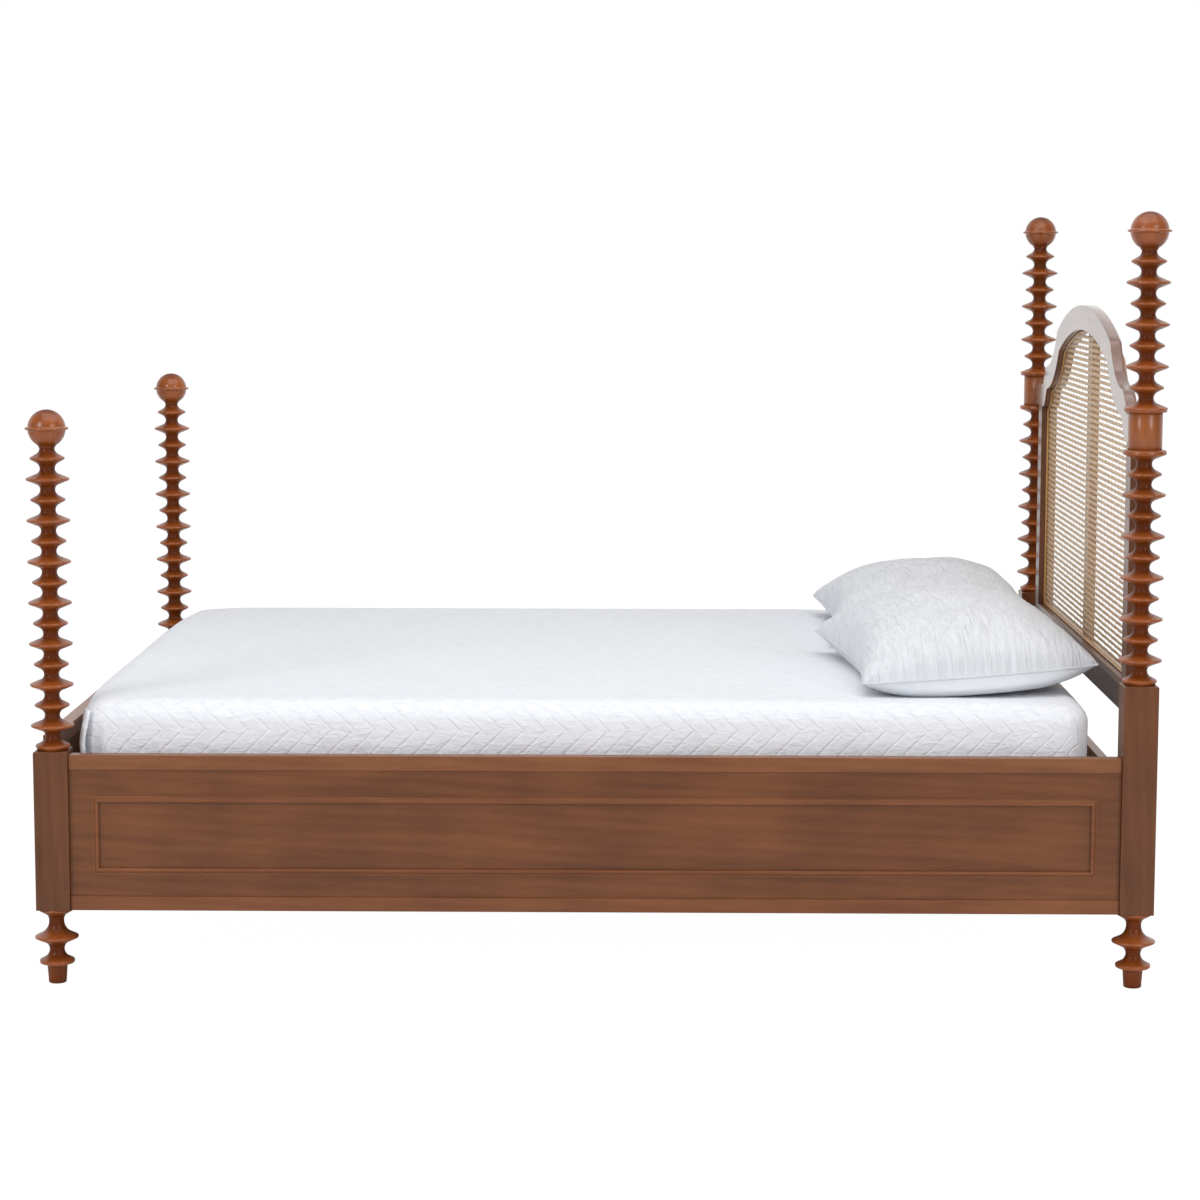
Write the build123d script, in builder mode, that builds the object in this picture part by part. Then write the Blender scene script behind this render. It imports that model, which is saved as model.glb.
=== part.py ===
"""Four-poster bed with spool-turned posts, panelled rails and a caned, arched headboard.

Sizes are millimetres and +Z is up. The origin is on the floor under the middle of the bed,
+X runs to the head, and -Y is the near side. The head end's left and right are named far and near.
"""

import os
from math import hypot, sqrt

from build123d import *

os.makedirs("parts", exist_ok=True)

# Post blocks
block_width = 69.0
block_bottom = 155.0
foot_block_top = 480.5
head_block_top = 620.5
block_chamfer = 2.0

# Spool turning
disc_pitch = 41.5
large_rim_radius = 43.7
small_rim_radius = 35.1
waist_radius = 15.0
base_rim_height = 8.0
base_edge_radius = 32.0
foot_disc_count = 14
head_lower_disc_count = 10
head_upper_disc_count = 7
tenon_radius = 7.0
tenon_length = 34.0
tenon_clearance = 0.1

# Barrel between the head post's two spool lengths
barrel_radius = 34.0
barrel_height = 76.0
barrel_disc_rim_height = 6.3

# Ball finial
ball_radius = 38.0
ball_ring_radius = 43.6
ball_ring_height = 6.5
ball_neck_radius = 14.5
ball_rise = 59.8

# Turned foot under each block
peg_floor_radius = 18.0
peg_top_radius = 20.5
peg_height = 38.0
foot_low_rim_height = 46.0
foot_low_rim_radius = 35.6
foot_low_waist_height = 70.0
foot_waist_radius = 15.2
foot_high_rim_height = 95.1
foot_high_rim_radius = 44.0
foot_high_waist_height = 128.0
foot_bead_radius = 35.5
foot_bead_height = 5.0

# Side rails, footboard and lower head rail
rail_face_setback = 6.5
rail_cap_depth = 30.0
rail_cap_height = 30.0
rail_band_height = 29.5
panel_setback = 3.0
panel_thickness = 20.0
side_rail_top = 473.5
footboard_top = 503.0
footboard_cap_gap = 2.5
lower_head_rail_top = 380.0

# Applied moulding frame on the rail panels
moulding_width = 14.0
moulding_height = 8.0
moulding_shoulder = 4.0
moulding_end_inset = 46.5
moulding_low_inset = 44.5
moulding_high_inset = 52.5

# Hook and slot fittings that hang each rail on its posts
plate_width = 15.0
plate_length = 110.0
plate_thickness = 2.5
hook_spacing = 60.0
hook_thickness = 3.0
hook_reach = 12.0
hook_arm_height = 9.0
hook_drop = 10.0
slot_width = 4.0
slot_height = 22.0
hook_pocket_clearance = 2.0
fitting_clearance = 0.15

# Headboard outline, as insets from the stiles' outer edges, and rises above the floor or the ears
crown_top = 1360.0
crown_end_inset = 295.0
crown_rise = 69.0
shoulder_inset = 123.0
shoulder_rise = 47.0
shoulder_hollow = 23.0
ear_root_inset = 65.0
ear_root_bulge = 6.0
ear_top = 1153.0
ear_height = 56.0
ear_housing_depth = 14.0
frame_width = 55.0
stile_post_gap = 105.0
opening_bottom = 608.0
bottom_rail_height = 16.0
cross_rail_height = 53.0
cross_rail_thickness = 30.0
cross_rail_setback = 4.0
cross_tenon_height = 36.0
cross_tenon_thickness = 14.0
cross_tenon_length = 16.0

# Headboard layers, front to back
headboard_face_forward = 10.0
frame_thickness = 24.0
cane_recess = 17.3
cane_thickness = 2.0
cane_lap = 10.0
cane_fit = 0.3
stop_thickness = 18.0
bead_width = 5.0
bead_thickness = 4.5
centre_slat_width = 58.0
dowel_radius = 4.0
dowel_length = 40.0
dowel_spacing = 30.0

# Cane weave
cane_row_pitch = 13.0
cane_slot_height = 5.5
cane_edge_strip = 16.0

# Slats and their support
ledger_height = 40.0
ledger_depth = 25.0
slat_top = 325.0
slat_thickness = 20.0
slat_width = 70.0
slat_count = 16
slat_end_gap = 12.0
slat_length_gap = 2.0
beam_width = 60.0
beam_height = 40.0
hanger_width = 100.0
hanger_depth = 28.0
hanger_floor = 14.0
hanger_clearance = 0.5
leg_size = 45.0
leg_spacing = 650.0
leg_count = 3
glide_radius = 15.0
glide_pad_height = 8.0
glide_pin_radius = 4.0
glide_pin_length = 20.0

# Mattress and bedding
mattress_length = 2032.0
mattress_width = 1524.0
mattress_thickness = 244.0
mattress_foot_gap = 62.0
mattress_head_gap = 88.0
mattress_side_gap = 43.0
mattress_corner_radius = 60.0
mattress_edge = 20.0
resting_gap = 0.3
quilt_thickness = 9.0
quilt_end_fullness = 7.5
quilt_side_fullness = 24.0
quilt_edge_radius = 42.0
quilt_hem = 425.0
pillow_length = 650.0
pillow_width = 520.0
pillow_crown = 144.0
pillow_belly = 38.5
pillow_end_fullness = 1.15
pillow_draw = 8.0
pillow_edge_trim = 4.0
pillow_tilt = 4.6
pillow_head_gap = 46.0
pillow_spacing = 690.0
near_pillow_turn = 5.0
far_pillow_turn = 0.0
tape_width = 25.0
tape_thickness = 1.5
tape_inset = 30.0

# Places worked out from the sizes above
block_half = block_width / 2
rail_face = block_half - rail_face_setback
panel_face = rail_face - panel_setback
panel_middle = panel_face - panel_thickness / 2
panel_back = panel_face - panel_thickness
mattress_room = mattress_length + mattress_foot_gap + mattress_head_gap
post_x = (mattress_room + headboard_face_forward - panel_back) / 2
post_y = mattress_width / 2 + mattress_side_gap - panel_back
foot_places = [(-post_x, -post_y), (-post_x, post_y)]
head_places = [(post_x, -post_y), (post_x, post_y)]
post_places = foot_places + head_places
inner_half_length = post_x - block_half
inner_half_width = post_y - block_half
band_top = block_bottom + rail_band_height
fitting_height = (band_top + side_rail_top - rail_cap_height) / 2
headboard_face = post_x - headboard_face_forward
cane_face = headboard_face + cane_recess
cane_back = cane_face + cane_thickness
ear_bottom = ear_top - ear_height
ear_half_width = post_y - barrel_radius + ear_housing_depth
stile_outer_half_width = post_y - stile_post_gap
stile_inner_half_width = stile_outer_half_width - frame_width
cross_rail_top = opening_bottom - bottom_rail_height
cross_rail_face = headboard_face + cross_rail_setback
head_lower_top = head_block_top + base_rim_height + (head_lower_disc_count + 1) * disc_pitch
barrel_bottom = head_lower_top + barrel_disc_rim_height
barrel_top = barrel_bottom + barrel_height
mattress_bottom = slat_top + resting_gap
mattress_top = mattress_bottom + mattress_thickness
mattress_x = -post_x - panel_back + mattress_foot_gap + mattress_length / 2
quilt_top = mattress_top + quilt_thickness


def save(built, name):
    """Label a finished piece, or a group of like pieces, and write it under that name."""
    built.part.label = name
    export_step(built.part, f"parts/{name}.step")


def alternate_rims(first_radius, second_radius, start, count):
    """List the rim radius and height of discs that alternate between two sizes."""
    radii = (first_radius, second_radius)
    return [(radii[i % 2], start + i * disc_pitch) for i in range(count)]


def spool_outline(rims):
    """Give the outline of a row of discs, bottom to top, with a waist midway between two rims."""
    points = [rims[0]]
    for (_, low), (radius, high) in zip(rims, rims[1:]):
        points.append((waist_radius, (low + high) / 2))
        points.append((radius, high))
    return points


def spindle_outline(seat, rims, seat_edge_radius):
    """Give a spool length's closed outline, with a tenon below its seat and one on its last waist."""
    last = rims[-1][1]
    shoulder = last + disc_pitch / 2
    tail = [(0, seat - tenon_length), (tenon_radius, seat - tenon_length), (tenon_radius, seat)]
    head = [(waist_radius, shoulder), (tenon_radius, shoulder)]
    tip = [(tenon_radius, shoulder + tenon_length), (0, shoulder + tenon_length)]
    return tail + [(seat_edge_radius, seat)] + spool_outline(rims) + head + tip


def bowed(start, end, bow):
    """Give the middle point of an arc that stands off its chord to the left by bow."""
    run = hypot(end[0] - start[0], end[1] - start[1])
    across = (-(end[1] - start[1]) / run, (end[0] - start[0]) / run)
    return ((start[0] + end[0]) / 2 + across[0] * bow, (start[1] + end[1]) / 2 + across[1] * bow)


# Foot post spool lengths, seated on the foot blocks
foot_rims = [(small_rim_radius, foot_block_top + base_rim_height)]
foot_rims += alternate_rims(
    large_rim_radius, small_rim_radius, foot_rims[0][1] + disc_pitch, foot_disc_count
)
with BuildPart() as foot_spindle:
    with BuildSketch(Plane.XZ):
        with BuildLine():
            Polyline(spindle_outline(foot_block_top, foot_rims, base_edge_radius), close=True)
        make_face()
    revolve(axis=Axis.Z)
with BuildPart() as foot_spindles:
    with Locations(foot_places):
        add(foot_spindle.part)
save(foot_spindles, "foot_spindles")

# Head post lower spool lengths, which end in a flat-topped half disc under the barrel
lower_rims = [(small_rim_radius, head_block_top + base_rim_height)]
lower_rims += alternate_rims(
    large_rim_radius, small_rim_radius, lower_rims[0][1] + disc_pitch, head_lower_disc_count + 1
)
with BuildPart() as lower_spindle:
    with BuildSketch(Plane.XZ):
        with BuildLine():
            bottom = head_block_top - tenon_length
            lower_tail = [(0, bottom), (tenon_radius, bottom), (tenon_radius, head_block_top)]
            lower_top = [(large_rim_radius, barrel_bottom), (tenon_radius, barrel_bottom)]
            tip = barrel_bottom + tenon_length
            lower_tip = [(tenon_radius, tip), (0, tip)]
            seat_edge = [(base_edge_radius, head_block_top)]
            lower_points = lower_tail + seat_edge + spool_outline(lower_rims) + lower_top + lower_tip
            Polyline(lower_points, close=True)
        make_face()
    revolve(axis=Axis.Z)
with BuildPart() as lower_spindles:
    with Locations(head_places):
        add(lower_spindle.part)
save(lower_spindles, "head_lower_spindles")

# Barrels, each housed out on its inner side for the headboard's ear
with BuildPart() as barrel:
    with BuildSketch(Plane.XY.offset(barrel_bottom)):
        Circle(barrel_radius)
        Circle(tenon_radius + tenon_clearance, mode=Mode.SUBTRACT)
    extrude(amount=barrel_height)
with BuildPart() as barrels:
    with Locations(head_places):
        add(barrel.part)
    housing_width = ear_half_width + tenon_clearance
    with Locations((headboard_face - tenon_clearance, 0, ear_bottom)):
        Box(
            frame_thickness + 2 * tenon_clearance,
            2 * housing_width,
            ear_height + tenon_clearance,
            align=(Align.MIN, Align.CENTER, Align.MIN),
            mode=Mode.SUBTRACT,
        )
save(barrels, "head_barrels")

# Head post upper spool lengths, seated on the barrels by a half disc
upper_rims = alternate_rims(
    large_rim_radius, small_rim_radius, barrel_top + barrel_disc_rim_height, head_upper_disc_count + 1
)
with BuildPart() as upper_spindle:
    with BuildSketch(Plane.XZ):
        with BuildLine():
            Polyline(spindle_outline(barrel_top, upper_rims, large_rim_radius), close=True)
        make_face()
    revolve(axis=Axis.Z)
with BuildPart() as upper_spindles:
    with Locations(head_places):
        add(upper_spindle.part)
save(upper_spindles, "head_upper_spindles")

# Ball finials, with a ring round the middle and a bored neck
foot_shoulder = foot_rims[-1][1] + disc_pitch / 2
head_shoulder = upper_rims[-1][1] + disc_pitch / 2
with BuildPart() as finial:
    with BuildSketch(Plane.XZ):
        with BuildLine():
            centre = ball_rise - disc_pitch / 2
            ring_half = ball_ring_height / 2
            ring_root = sqrt(ball_radius**2 - ring_half**2)
            neck_drop = sqrt(ball_radius**2 - ball_neck_radius**2)
            bore_radius = tenon_radius + tenon_clearance
            bore_end = tenon_length + tenon_clearance
            slant = ball_radius / sqrt(2)
            neck = [(0, bore_end), (bore_radius, bore_end), (bore_radius, 0), (waist_radius, 0)]
            Polyline(neck + [(ball_neck_radius, centre - neck_drop)])
            ThreePointArc(
                (ball_neck_radius, centre - neck_drop),
                (slant, centre - slant),
                (ring_root, centre - ring_half),
            )
            Polyline(
                (ring_root, centre - ring_half),
                (ball_ring_radius, centre - ring_half),
                (ball_ring_radius, centre + ring_half),
                (ring_root, centre + ring_half),
            )
            ThreePointArc(
                (ring_root, centre + ring_half), (slant, centre + slant), (0, centre + ball_radius)
            )
            Line((0, centre + ball_radius), (0, bore_end))
        make_face()
    revolve(axis=Axis.Z)
with BuildPart() as finials:
    with Locations([(x, y, foot_shoulder) for x, y in foot_places]):
        add(finial.part)
    with Locations([(x, y, head_shoulder) for x, y in head_places]):
        add(finial.part)
save(finials, "ball_finials")

# Turned feet, tenoned up into the blocks
with BuildPart() as foot:
    with BuildSketch(Plane.XZ):
        with BuildLine():
            tip = block_bottom + tenon_length
            bead_low = block_bottom - foot_bead_height
            Polyline(
                (0, 0),
                (peg_floor_radius, 0),
                (peg_top_radius, peg_height),
                (foot_low_rim_radius, foot_low_rim_height),
                (foot_waist_radius, foot_low_waist_height),
                (foot_high_rim_radius, foot_high_rim_height),
                (foot_waist_radius, foot_high_waist_height),
                (foot_bead_radius, bead_low),
                (foot_bead_radius, block_bottom),
                (tenon_radius, block_bottom),
                (tenon_radius, tip),
                (0, tip),
                close=True,
            )
        make_face()
    revolve(axis=Axis.Z)
with BuildPart() as feet:
    with Locations(post_places):
        add(foot.part)
save(feet, "turned_feet")

# Hook plate and slot plate, with +X into the post and the joint plane at X = 0
with BuildPart() as hook_plate:
    with Locations((-plate_thickness / 2, 0, 0)):
        Box(plate_thickness, plate_width, plate_length)
    for hook_z in (-hook_spacing / 2, hook_spacing / 2):
        with BuildSketch(Plane.XZ.offset(-hook_thickness / 2)):
            with BuildLine():
                behind = plate_thickness + fitting_clearance
                Polyline(
                    (0, hook_z),
                    (hook_reach, hook_z),
                    (hook_reach, hook_z - hook_arm_height - hook_drop),
                    (behind, hook_z - hook_arm_height - hook_drop),
                    (behind, hook_z - hook_arm_height),
                    (0, hook_z - hook_arm_height),
                    close=True,
                )
            make_face()
        extrude(amount=hook_thickness)
with BuildPart() as slot_plate:
    with Locations((plate_thickness / 2, 0, 0)):
        Box(plate_thickness, plate_width, plate_length)
    for hook_z in (-hook_spacing / 2, hook_spacing / 2):
        slot_bottom = hook_z - hook_arm_height - fitting_clearance
        with Locations((plate_thickness / 2, 0, slot_bottom + slot_height / 2)):
            Box(plate_thickness, slot_width, slot_height, mode=Mode.SUBTRACT)
with BuildPart() as post_pocket:
    with Locations((0, 0, 0)):
        Box(
            plate_thickness,
            plate_width + 2 * fitting_clearance,
            plate_length + 2 * fitting_clearance,
            align=(Align.MIN, Align.CENTER, Align.CENTER),
        )
    pocket_drop = hook_arm_height + hook_drop + hook_pocket_clearance
    pocket_top = slot_height - hook_arm_height + hook_pocket_clearance
    with Locations((0, 0, (pocket_top - pocket_drop) / 2)):
        Box(
            hook_reach + hook_pocket_clearance,
            slot_width + hook_pocket_clearance,
            hook_spacing + pocket_drop + pocket_top,
            align=(Align.MIN, Align.CENTER, Align.CENTER),
        )
with BuildPart() as rail_recess:
    Box(
        plate_thickness,
        plate_width + 2 * fitting_clearance,
        plate_length + 2 * fitting_clearance,
        align=(Align.MAX, Align.CENTER, Align.CENTER),
    )

# Joint places: four on the side rails, two on the footboard and two on the lower head rail
side_joints = []
end_joints = []
for side in (-1, 1):
    for end in (-1, 1):
        side_y = side * (post_y + panel_middle)
        end_x = end * (post_x + panel_middle)
        across = 90 * side
        along = 0 if end > 0 else 180
        side_joints.append(Location((end * inner_half_length, side_y, fitting_height), (0, 0, along)))
        end_joints.append(Location((end_x, side * inner_half_width, fitting_height), (0, 0, across)))
joints = side_joints + end_joints
with BuildPart() as hook_plates:
    with Locations(*joints):
        add(hook_plate.part)
save(hook_plates, "rail_hook_plates")
with BuildPart() as slot_plates:
    with Locations(*joints):
        add(slot_plate.part)
save(slot_plates, "post_slot_plates")

# Square post blocks, mortised for the turnings, the fittings and, at the head, the cross rail
block_tops = {"foot": foot_block_top, "head": head_block_top}
bore_radius = tenon_radius + tenon_clearance
bore_depth = tenon_length + tenon_clearance
for end_name, end in (("foot", -1), ("head", 1)):
    for side_name, side in (("near", -1), ("far", 1)):
        top = block_tops[end_name]
        with BuildPart() as block:
            with Locations((end * post_x, side * post_y, block_bottom)):
                Box(
                    block_width,
                    block_width,
                    top - block_bottom,
                    align=(Align.CENTER, Align.CENTER, Align.MIN),
                )
            chamfer(block.faces().sort_by(Axis.Z)[-1].edges(), block_chamfer)
            with Locations((end * post_x, side * post_y, top)):
                Hole(bore_radius, bore_depth)
            with Locations((end * post_x, side * post_y, block_bottom + bore_depth)):
                Hole(bore_radius, bore_depth)
            with Locations(*joints):
                add(post_pocket.part, mode=Mode.SUBTRACT)
            if end_name == "head":
                mortise_x = cross_rail_face + cross_rail_thickness / 2
                mortise_z = cross_rail_top - cross_rail_height / 2
                with Locations((mortise_x, 0, mortise_z)):
                    Box(
                        cross_tenon_thickness + 2 * tenon_clearance,
                        2 * (inner_half_width + cross_tenon_length + tenon_clearance),
                        cross_tenon_height + 2 * tenon_clearance,
                        mode=Mode.SUBTRACT,
                    )
        save(block, f"{side_name}_{end_name}_block")

# Side rails: a cap and a band of one section, with a thinner panel between them
rail_length = 2 * inner_half_length
for side_name, side in (("near", -1), ("far", 1)):
    cap_middle = side * (post_y + rail_face - rail_cap_depth / 2)
    board_middle = side * (post_y + panel_middle)
    cap_bottom = side_rail_top - rail_cap_height
    with BuildPart() as cap:
        with Locations((0, cap_middle, cap_bottom + rail_cap_height / 2)):
            Box(rail_length, rail_cap_depth, rail_cap_height)
    save(cap, f"{side_name}_rail_cap")
    with BuildPart() as band:
        with Locations((0, cap_middle, block_bottom + rail_band_height / 2)):
            Box(rail_length, rail_cap_depth, rail_band_height)
    save(band, f"{side_name}_rail_band")
    with BuildPart() as panel:
        with Locations((0, board_middle, (band_top + cap_bottom) / 2)):
            Box(rail_length, panel_thickness, cap_bottom - band_top)
        with Locations(*side_joints):
            add(rail_recess.part, mode=Mode.SUBTRACT)
    save(panel, f"{side_name}_rail_panel")

# Footboard, taller than the side rails
foot_cap_bottom = footboard_top - rail_cap_height
foot_cap_middle = -(post_x + rail_face - rail_cap_depth / 2)
with BuildPart() as foot_cap:
    with Locations((foot_cap_middle, 0, foot_cap_bottom + rail_cap_height / 2)):
        Box(rail_cap_depth, 2 * (inner_half_width - footboard_cap_gap), rail_cap_height)
save(foot_cap, "footboard_cap")
with BuildPart() as foot_band:
    with Locations((foot_cap_middle, 0, block_bottom + rail_band_height / 2)):
        Box(rail_cap_depth, 2 * inner_half_width, rail_band_height)
save(foot_band, "footboard_band")
with BuildPart() as foot_panel:
    with Locations((-(post_x + panel_middle), 0, (band_top + foot_cap_bottom) / 2)):
        Box(panel_thickness, 2 * inner_half_width, foot_cap_bottom - band_top)
    with Locations(*end_joints):
        add(rail_recess.part, mode=Mode.SUBTRACT)
save(foot_panel, "footboard_panel")

# Lower head rail, a plain board behind the mattress
with BuildPart() as head_rail:
    with Locations((post_x + panel_middle, 0, (block_bottom + lower_head_rail_top) / 2)):
        Box(panel_thickness, 2 * inner_half_width, lower_head_rail_top - block_bottom)
    with Locations(*end_joints):
        add(rail_recess.part, mode=Mode.SUBTRACT)
save(head_rail, "lower_head_rail")


def moulding_frame(plane, half_run, low, high):
    """Build four mitred strips round a rectangle, each a flat with a shoulder at its inner edge."""
    strips = []
    inner_run = half_run - moulding_width
    inner_low = low + moulding_width
    inner_high = high - moulding_width
    outer = [(-half_run, low), (half_run, low), (half_run, high), (-half_run, high)]
    inner = [
        (-inner_run, inner_low),
        (inner_run, inner_low),
        (inner_run, inner_high),
        (-inner_run, inner_high),
    ]
    for i in range(4):
        with BuildPart() as strip:
            with BuildSketch(plane):
                with BuildLine():
                    j = (i + 1) % 4
                    Polyline(outer[i], outer[j], inner[j], inner[i], close=True)
                make_face()
            extrude(amount=moulding_height - moulding_shoulder)
            with BuildSketch(plane.offset(moulding_height - moulding_shoulder)):
                with BuildLine():
                    step = moulding_shoulder / moulding_width
                    raised = [
                        (p[0] + (q[0] - p[0]) * step, p[1] + (q[1] - p[1]) * step)
                        for p, q in zip(outer, inner)
                    ]
                    Polyline(raised[i], raised[j], inner[j], inner[i], close=True)
                make_face()
            extrude(amount=moulding_shoulder)
        strips.append(strip.part)
    return strips


# Applied moulding frames on the three show faces
side_half_run = inner_half_length - moulding_end_inset
side_low = band_top + moulding_low_inset
side_high = side_rail_top - rail_cap_height - moulding_high_inset
near_plane = Plane(origin=(0, -(post_y + panel_face), 0), x_dir=(1, 0, 0), z_dir=(0, -1, 0))
far_plane = Plane(origin=(0, post_y + panel_face, 0), x_dir=(-1, 0, 0), z_dir=(0, 1, 0))
foot_plane = Plane(origin=(-(post_x + panel_face), 0, 0), x_dir=(0, -1, 0), z_dir=(-1, 0, 0))
with BuildPart() as near_moulding:
    add(moulding_frame(near_plane, side_half_run, side_low, side_high))
save(near_moulding, "near_rail_moulding")
with BuildPart() as far_moulding:
    add(moulding_frame(far_plane, side_half_run, side_low, side_high))
save(far_moulding, "far_rail_moulding")
foot_half_run = inner_half_width - moulding_end_inset
foot_high = footboard_top - rail_cap_height - moulding_high_inset
with BuildPart() as foot_moulding:
    add(moulding_frame(foot_plane, foot_half_run, side_low, foot_high))
save(foot_moulding, "footboard_moulding")

# Headboard outline and its offsets, drawn across the bed with heights above the floor
board_plane = Plane(origin=(headboard_face, 0, 0), x_dir=(0, 1, 0), z_dir=(1, 0, 0))
outline_bottom = opening_bottom - frame_width
crown_half_width = stile_outer_half_width - crown_end_inset
crown_end = (crown_half_width, crown_top - crown_rise)
shoulder = (stile_outer_half_width - shoulder_inset, ear_top + shoulder_rise)
ear_root = (stile_outer_half_width - ear_root_inset, ear_top)
crown_radius = (crown_half_width**2 + crown_rise**2) / (2 * crown_rise)
crown_drop = crown_radius - sqrt(crown_radius**2 - (crown_half_width / 2) ** 2)
with BuildSketch() as board_outline:
    with BuildLine():
        Polyline(
            (0, outline_bottom),
            (stile_outer_half_width, outline_bottom),
            (stile_outer_half_width, ear_top),
            ear_root,
        )
        ThreePointArc(ear_root, bowed(shoulder, ear_root, ear_root_bulge), shoulder)
        ThreePointArc(shoulder, bowed(crown_end, shoulder, -shoulder_hollow), crown_end)
        ThreePointArc(crown_end, (crown_half_width / 2, crown_top - crown_drop), (0, crown_top))
        Line((0, crown_top), (0, outline_bottom))
    make_face()
    mirror(about=Plane.YZ)
board_face = board_outline.sketch.face()
opening = offset(board_face, amount=-frame_width, mode=Mode.PRIVATE)
cane_outline = offset(opening.face(), amount=cane_lap, mode=Mode.PRIVATE)
rebate_outline = offset(opening.face(), amount=cane_lap + cane_fit, mode=Mode.PRIVATE)
bead_inside = offset(opening.face(), amount=-bead_width, mode=Mode.PRIVATE)
weave_outline = offset(opening.face(), amount=-cane_edge_strip, mode=Mode.PRIVATE)
with BuildPart() as rebate:
    with BuildSketch(board_plane.offset(cane_recess)):
        add(rebate_outline)
    extrude(amount=frame_thickness)

# Headboard crown with its ears, rebated at the back for the cane
with BuildPart() as crown:
    with BuildSketch(board_plane):
        add(board_outline.sketch)
        with Locations((0, ear_bottom)):
            Rectangle(2 * ear_half_width, ear_height, align=(Align.CENTER, Align.MIN))
            Rectangle(
                2 * stile_outer_half_width,
                ear_bottom - outline_bottom,
                align=(Align.CENTER, Align.MAX),
                mode=Mode.SUBTRACT,
            )
        add(opening, mode=Mode.SUBTRACT)
    extrude(amount=frame_thickness)
    add(rebate.part, mode=Mode.SUBTRACT)
save(crown, "headboard_crown")

# Headboard stiles, sill and the dowels that stand them on the cross rail
stile_middle = stile_outer_half_width - frame_width / 2
frame_middle = headboard_face + frame_thickness / 2
dowel_places = [
    (frame_middle, side * stile_middle + shift, cross_rail_top)
    for side in (-1, 1)
    for shift in (-dowel_spacing / 2, dowel_spacing / 2)
]
with BuildPart() as dowel_bores:
    with Locations(*dowel_places):
        Cylinder(dowel_radius + tenon_clearance, dowel_length + 2 * tenon_clearance)
for side_name, side in (("near", -1), ("far", 1)):
    with BuildPart() as stile:
        with Locations((headboard_face, side * stile_middle, cross_rail_top)):
            Box(
                frame_thickness,
                frame_width,
                ear_bottom - cross_rail_top,
                align=(Align.MIN, Align.CENTER, Align.MIN),
            )
        add(rebate.part, mode=Mode.SUBTRACT)
        add(dowel_bores.part, mode=Mode.SUBTRACT)
    save(stile, f"{side_name}_headboard_stile")
with BuildPart() as dowels:
    with Locations(*dowel_places):
        Cylinder(dowel_radius, dowel_length)
save(dowels, "headboard_dowels")
with BuildPart() as sill:
    with Locations((headboard_face, 0, cross_rail_top)):
        Box(
            frame_thickness,
            2 * stile_inner_half_width,
            bottom_rail_height,
            align=(Align.MIN, Align.CENTER, Align.MIN),
        )
    add(rebate.part, mode=Mode.SUBTRACT)
save(sill, "headboard_sill")

# Cross rail between the head blocks, tenoned at both ends
cross_rail_middle = cross_rail_face + cross_rail_thickness / 2
with BuildPart() as cross_rail:
    with Locations((cross_rail_middle, 0, cross_rail_top - cross_rail_height / 2)):
        Box(cross_rail_thickness, 2 * inner_half_width, cross_rail_height)
        Box(cross_tenon_thickness, 2 * (inner_half_width + cross_tenon_length), cross_tenon_height)
    add(dowel_bores.part, mode=Mode.SUBTRACT)
save(cross_rail, "headboard_cross_rail")

# Woven cane panel: rows of slots on both sides of a middle strand
weave_bottom = opening_bottom + cane_edge_strip
weave_rows = int((crown_top - frame_width - cane_edge_strip - weave_bottom) / cane_row_pitch)
with BuildPart() as cane:
    with BuildSketch(board_plane.offset(cane_recess)):
        add(cane_outline)
    extrude(amount=cane_thickness)
    with BuildSketch(board_plane.offset(cane_recess)):
        add(weave_outline)
        strand = cane_row_pitch - cane_slot_height
        with Locations((0, weave_bottom + cane_slot_height)):
            with GridLocations(0, cane_row_pitch, 1, weave_rows, align=(Align.CENTER, Align.MIN)):
                Rectangle(
                    2 * stile_outer_half_width,
                    strand,
                    align=(Align.CENTER, Align.MIN),
                    mode=Mode.SUBTRACT,
                )
        last_row = weave_bottom + (weave_rows - 1) * cane_row_pitch
        with Locations((0, last_row)):
            Rectangle(
                2 * stile_outer_half_width,
                crown_top - last_row,
                align=(Align.CENTER, Align.MIN),
                mode=Mode.SUBTRACT,
            )
        with Locations((0, outline_bottom)):
            Rectangle(strand, crown_top, align=(Align.CENTER, Align.MIN), mode=Mode.SUBTRACT)
    extrude(amount=cane_thickness, mode=Mode.SUBTRACT)
save(cane, "cane_panel")
with BuildPart() as bead:
    with BuildSketch(board_plane.offset(cane_recess - bead_thickness)):
        add(opening)
        add(bead_inside, mode=Mode.SUBTRACT)
    extrude(amount=bead_thickness)
save(bead, "cane_bead")

# Strips that hold the cane in its rebate, and a slat up the middle behind it
stop_plane = board_plane.offset(cane_recess + cane_thickness)
stop_joint = ear_top - frame_width
with BuildPart() as crown_stop:
    with BuildSketch(stop_plane):
        add(cane_outline)
        add(opening, mode=Mode.SUBTRACT)
        with Locations((0, stop_joint)):
            Rectangle(
                2 * stile_outer_half_width,
                crown_top,
                align=(Align.CENTER, Align.MAX),
                mode=Mode.SUBTRACT,
            )
    extrude(amount=stop_thickness)
save(crown_stop, "cane_crown_stop")
with BuildPart() as side_stops:
    stop_y = stile_inner_half_width + cane_lap / 2
    side_stop_height = stop_joint - opening_bottom
    with Locations((cane_back, -stop_y, opening_bottom), (cane_back, stop_y, opening_bottom)):
        Box(
            stop_thickness,
            cane_lap,
            side_stop_height,
            align=(Align.MIN, Align.CENTER, Align.MIN),
        )
save(side_stops, "cane_side_stops")
with BuildPart() as sill_stop:
    with Locations((cane_back, 0, opening_bottom)):
        Box(
            stop_thickness,
            2 * stile_inner_half_width,
            cane_lap,
            align=(Align.MIN, Align.CENTER, Align.MAX),
        )
save(sill_stop, "cane_sill_stop")
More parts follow.
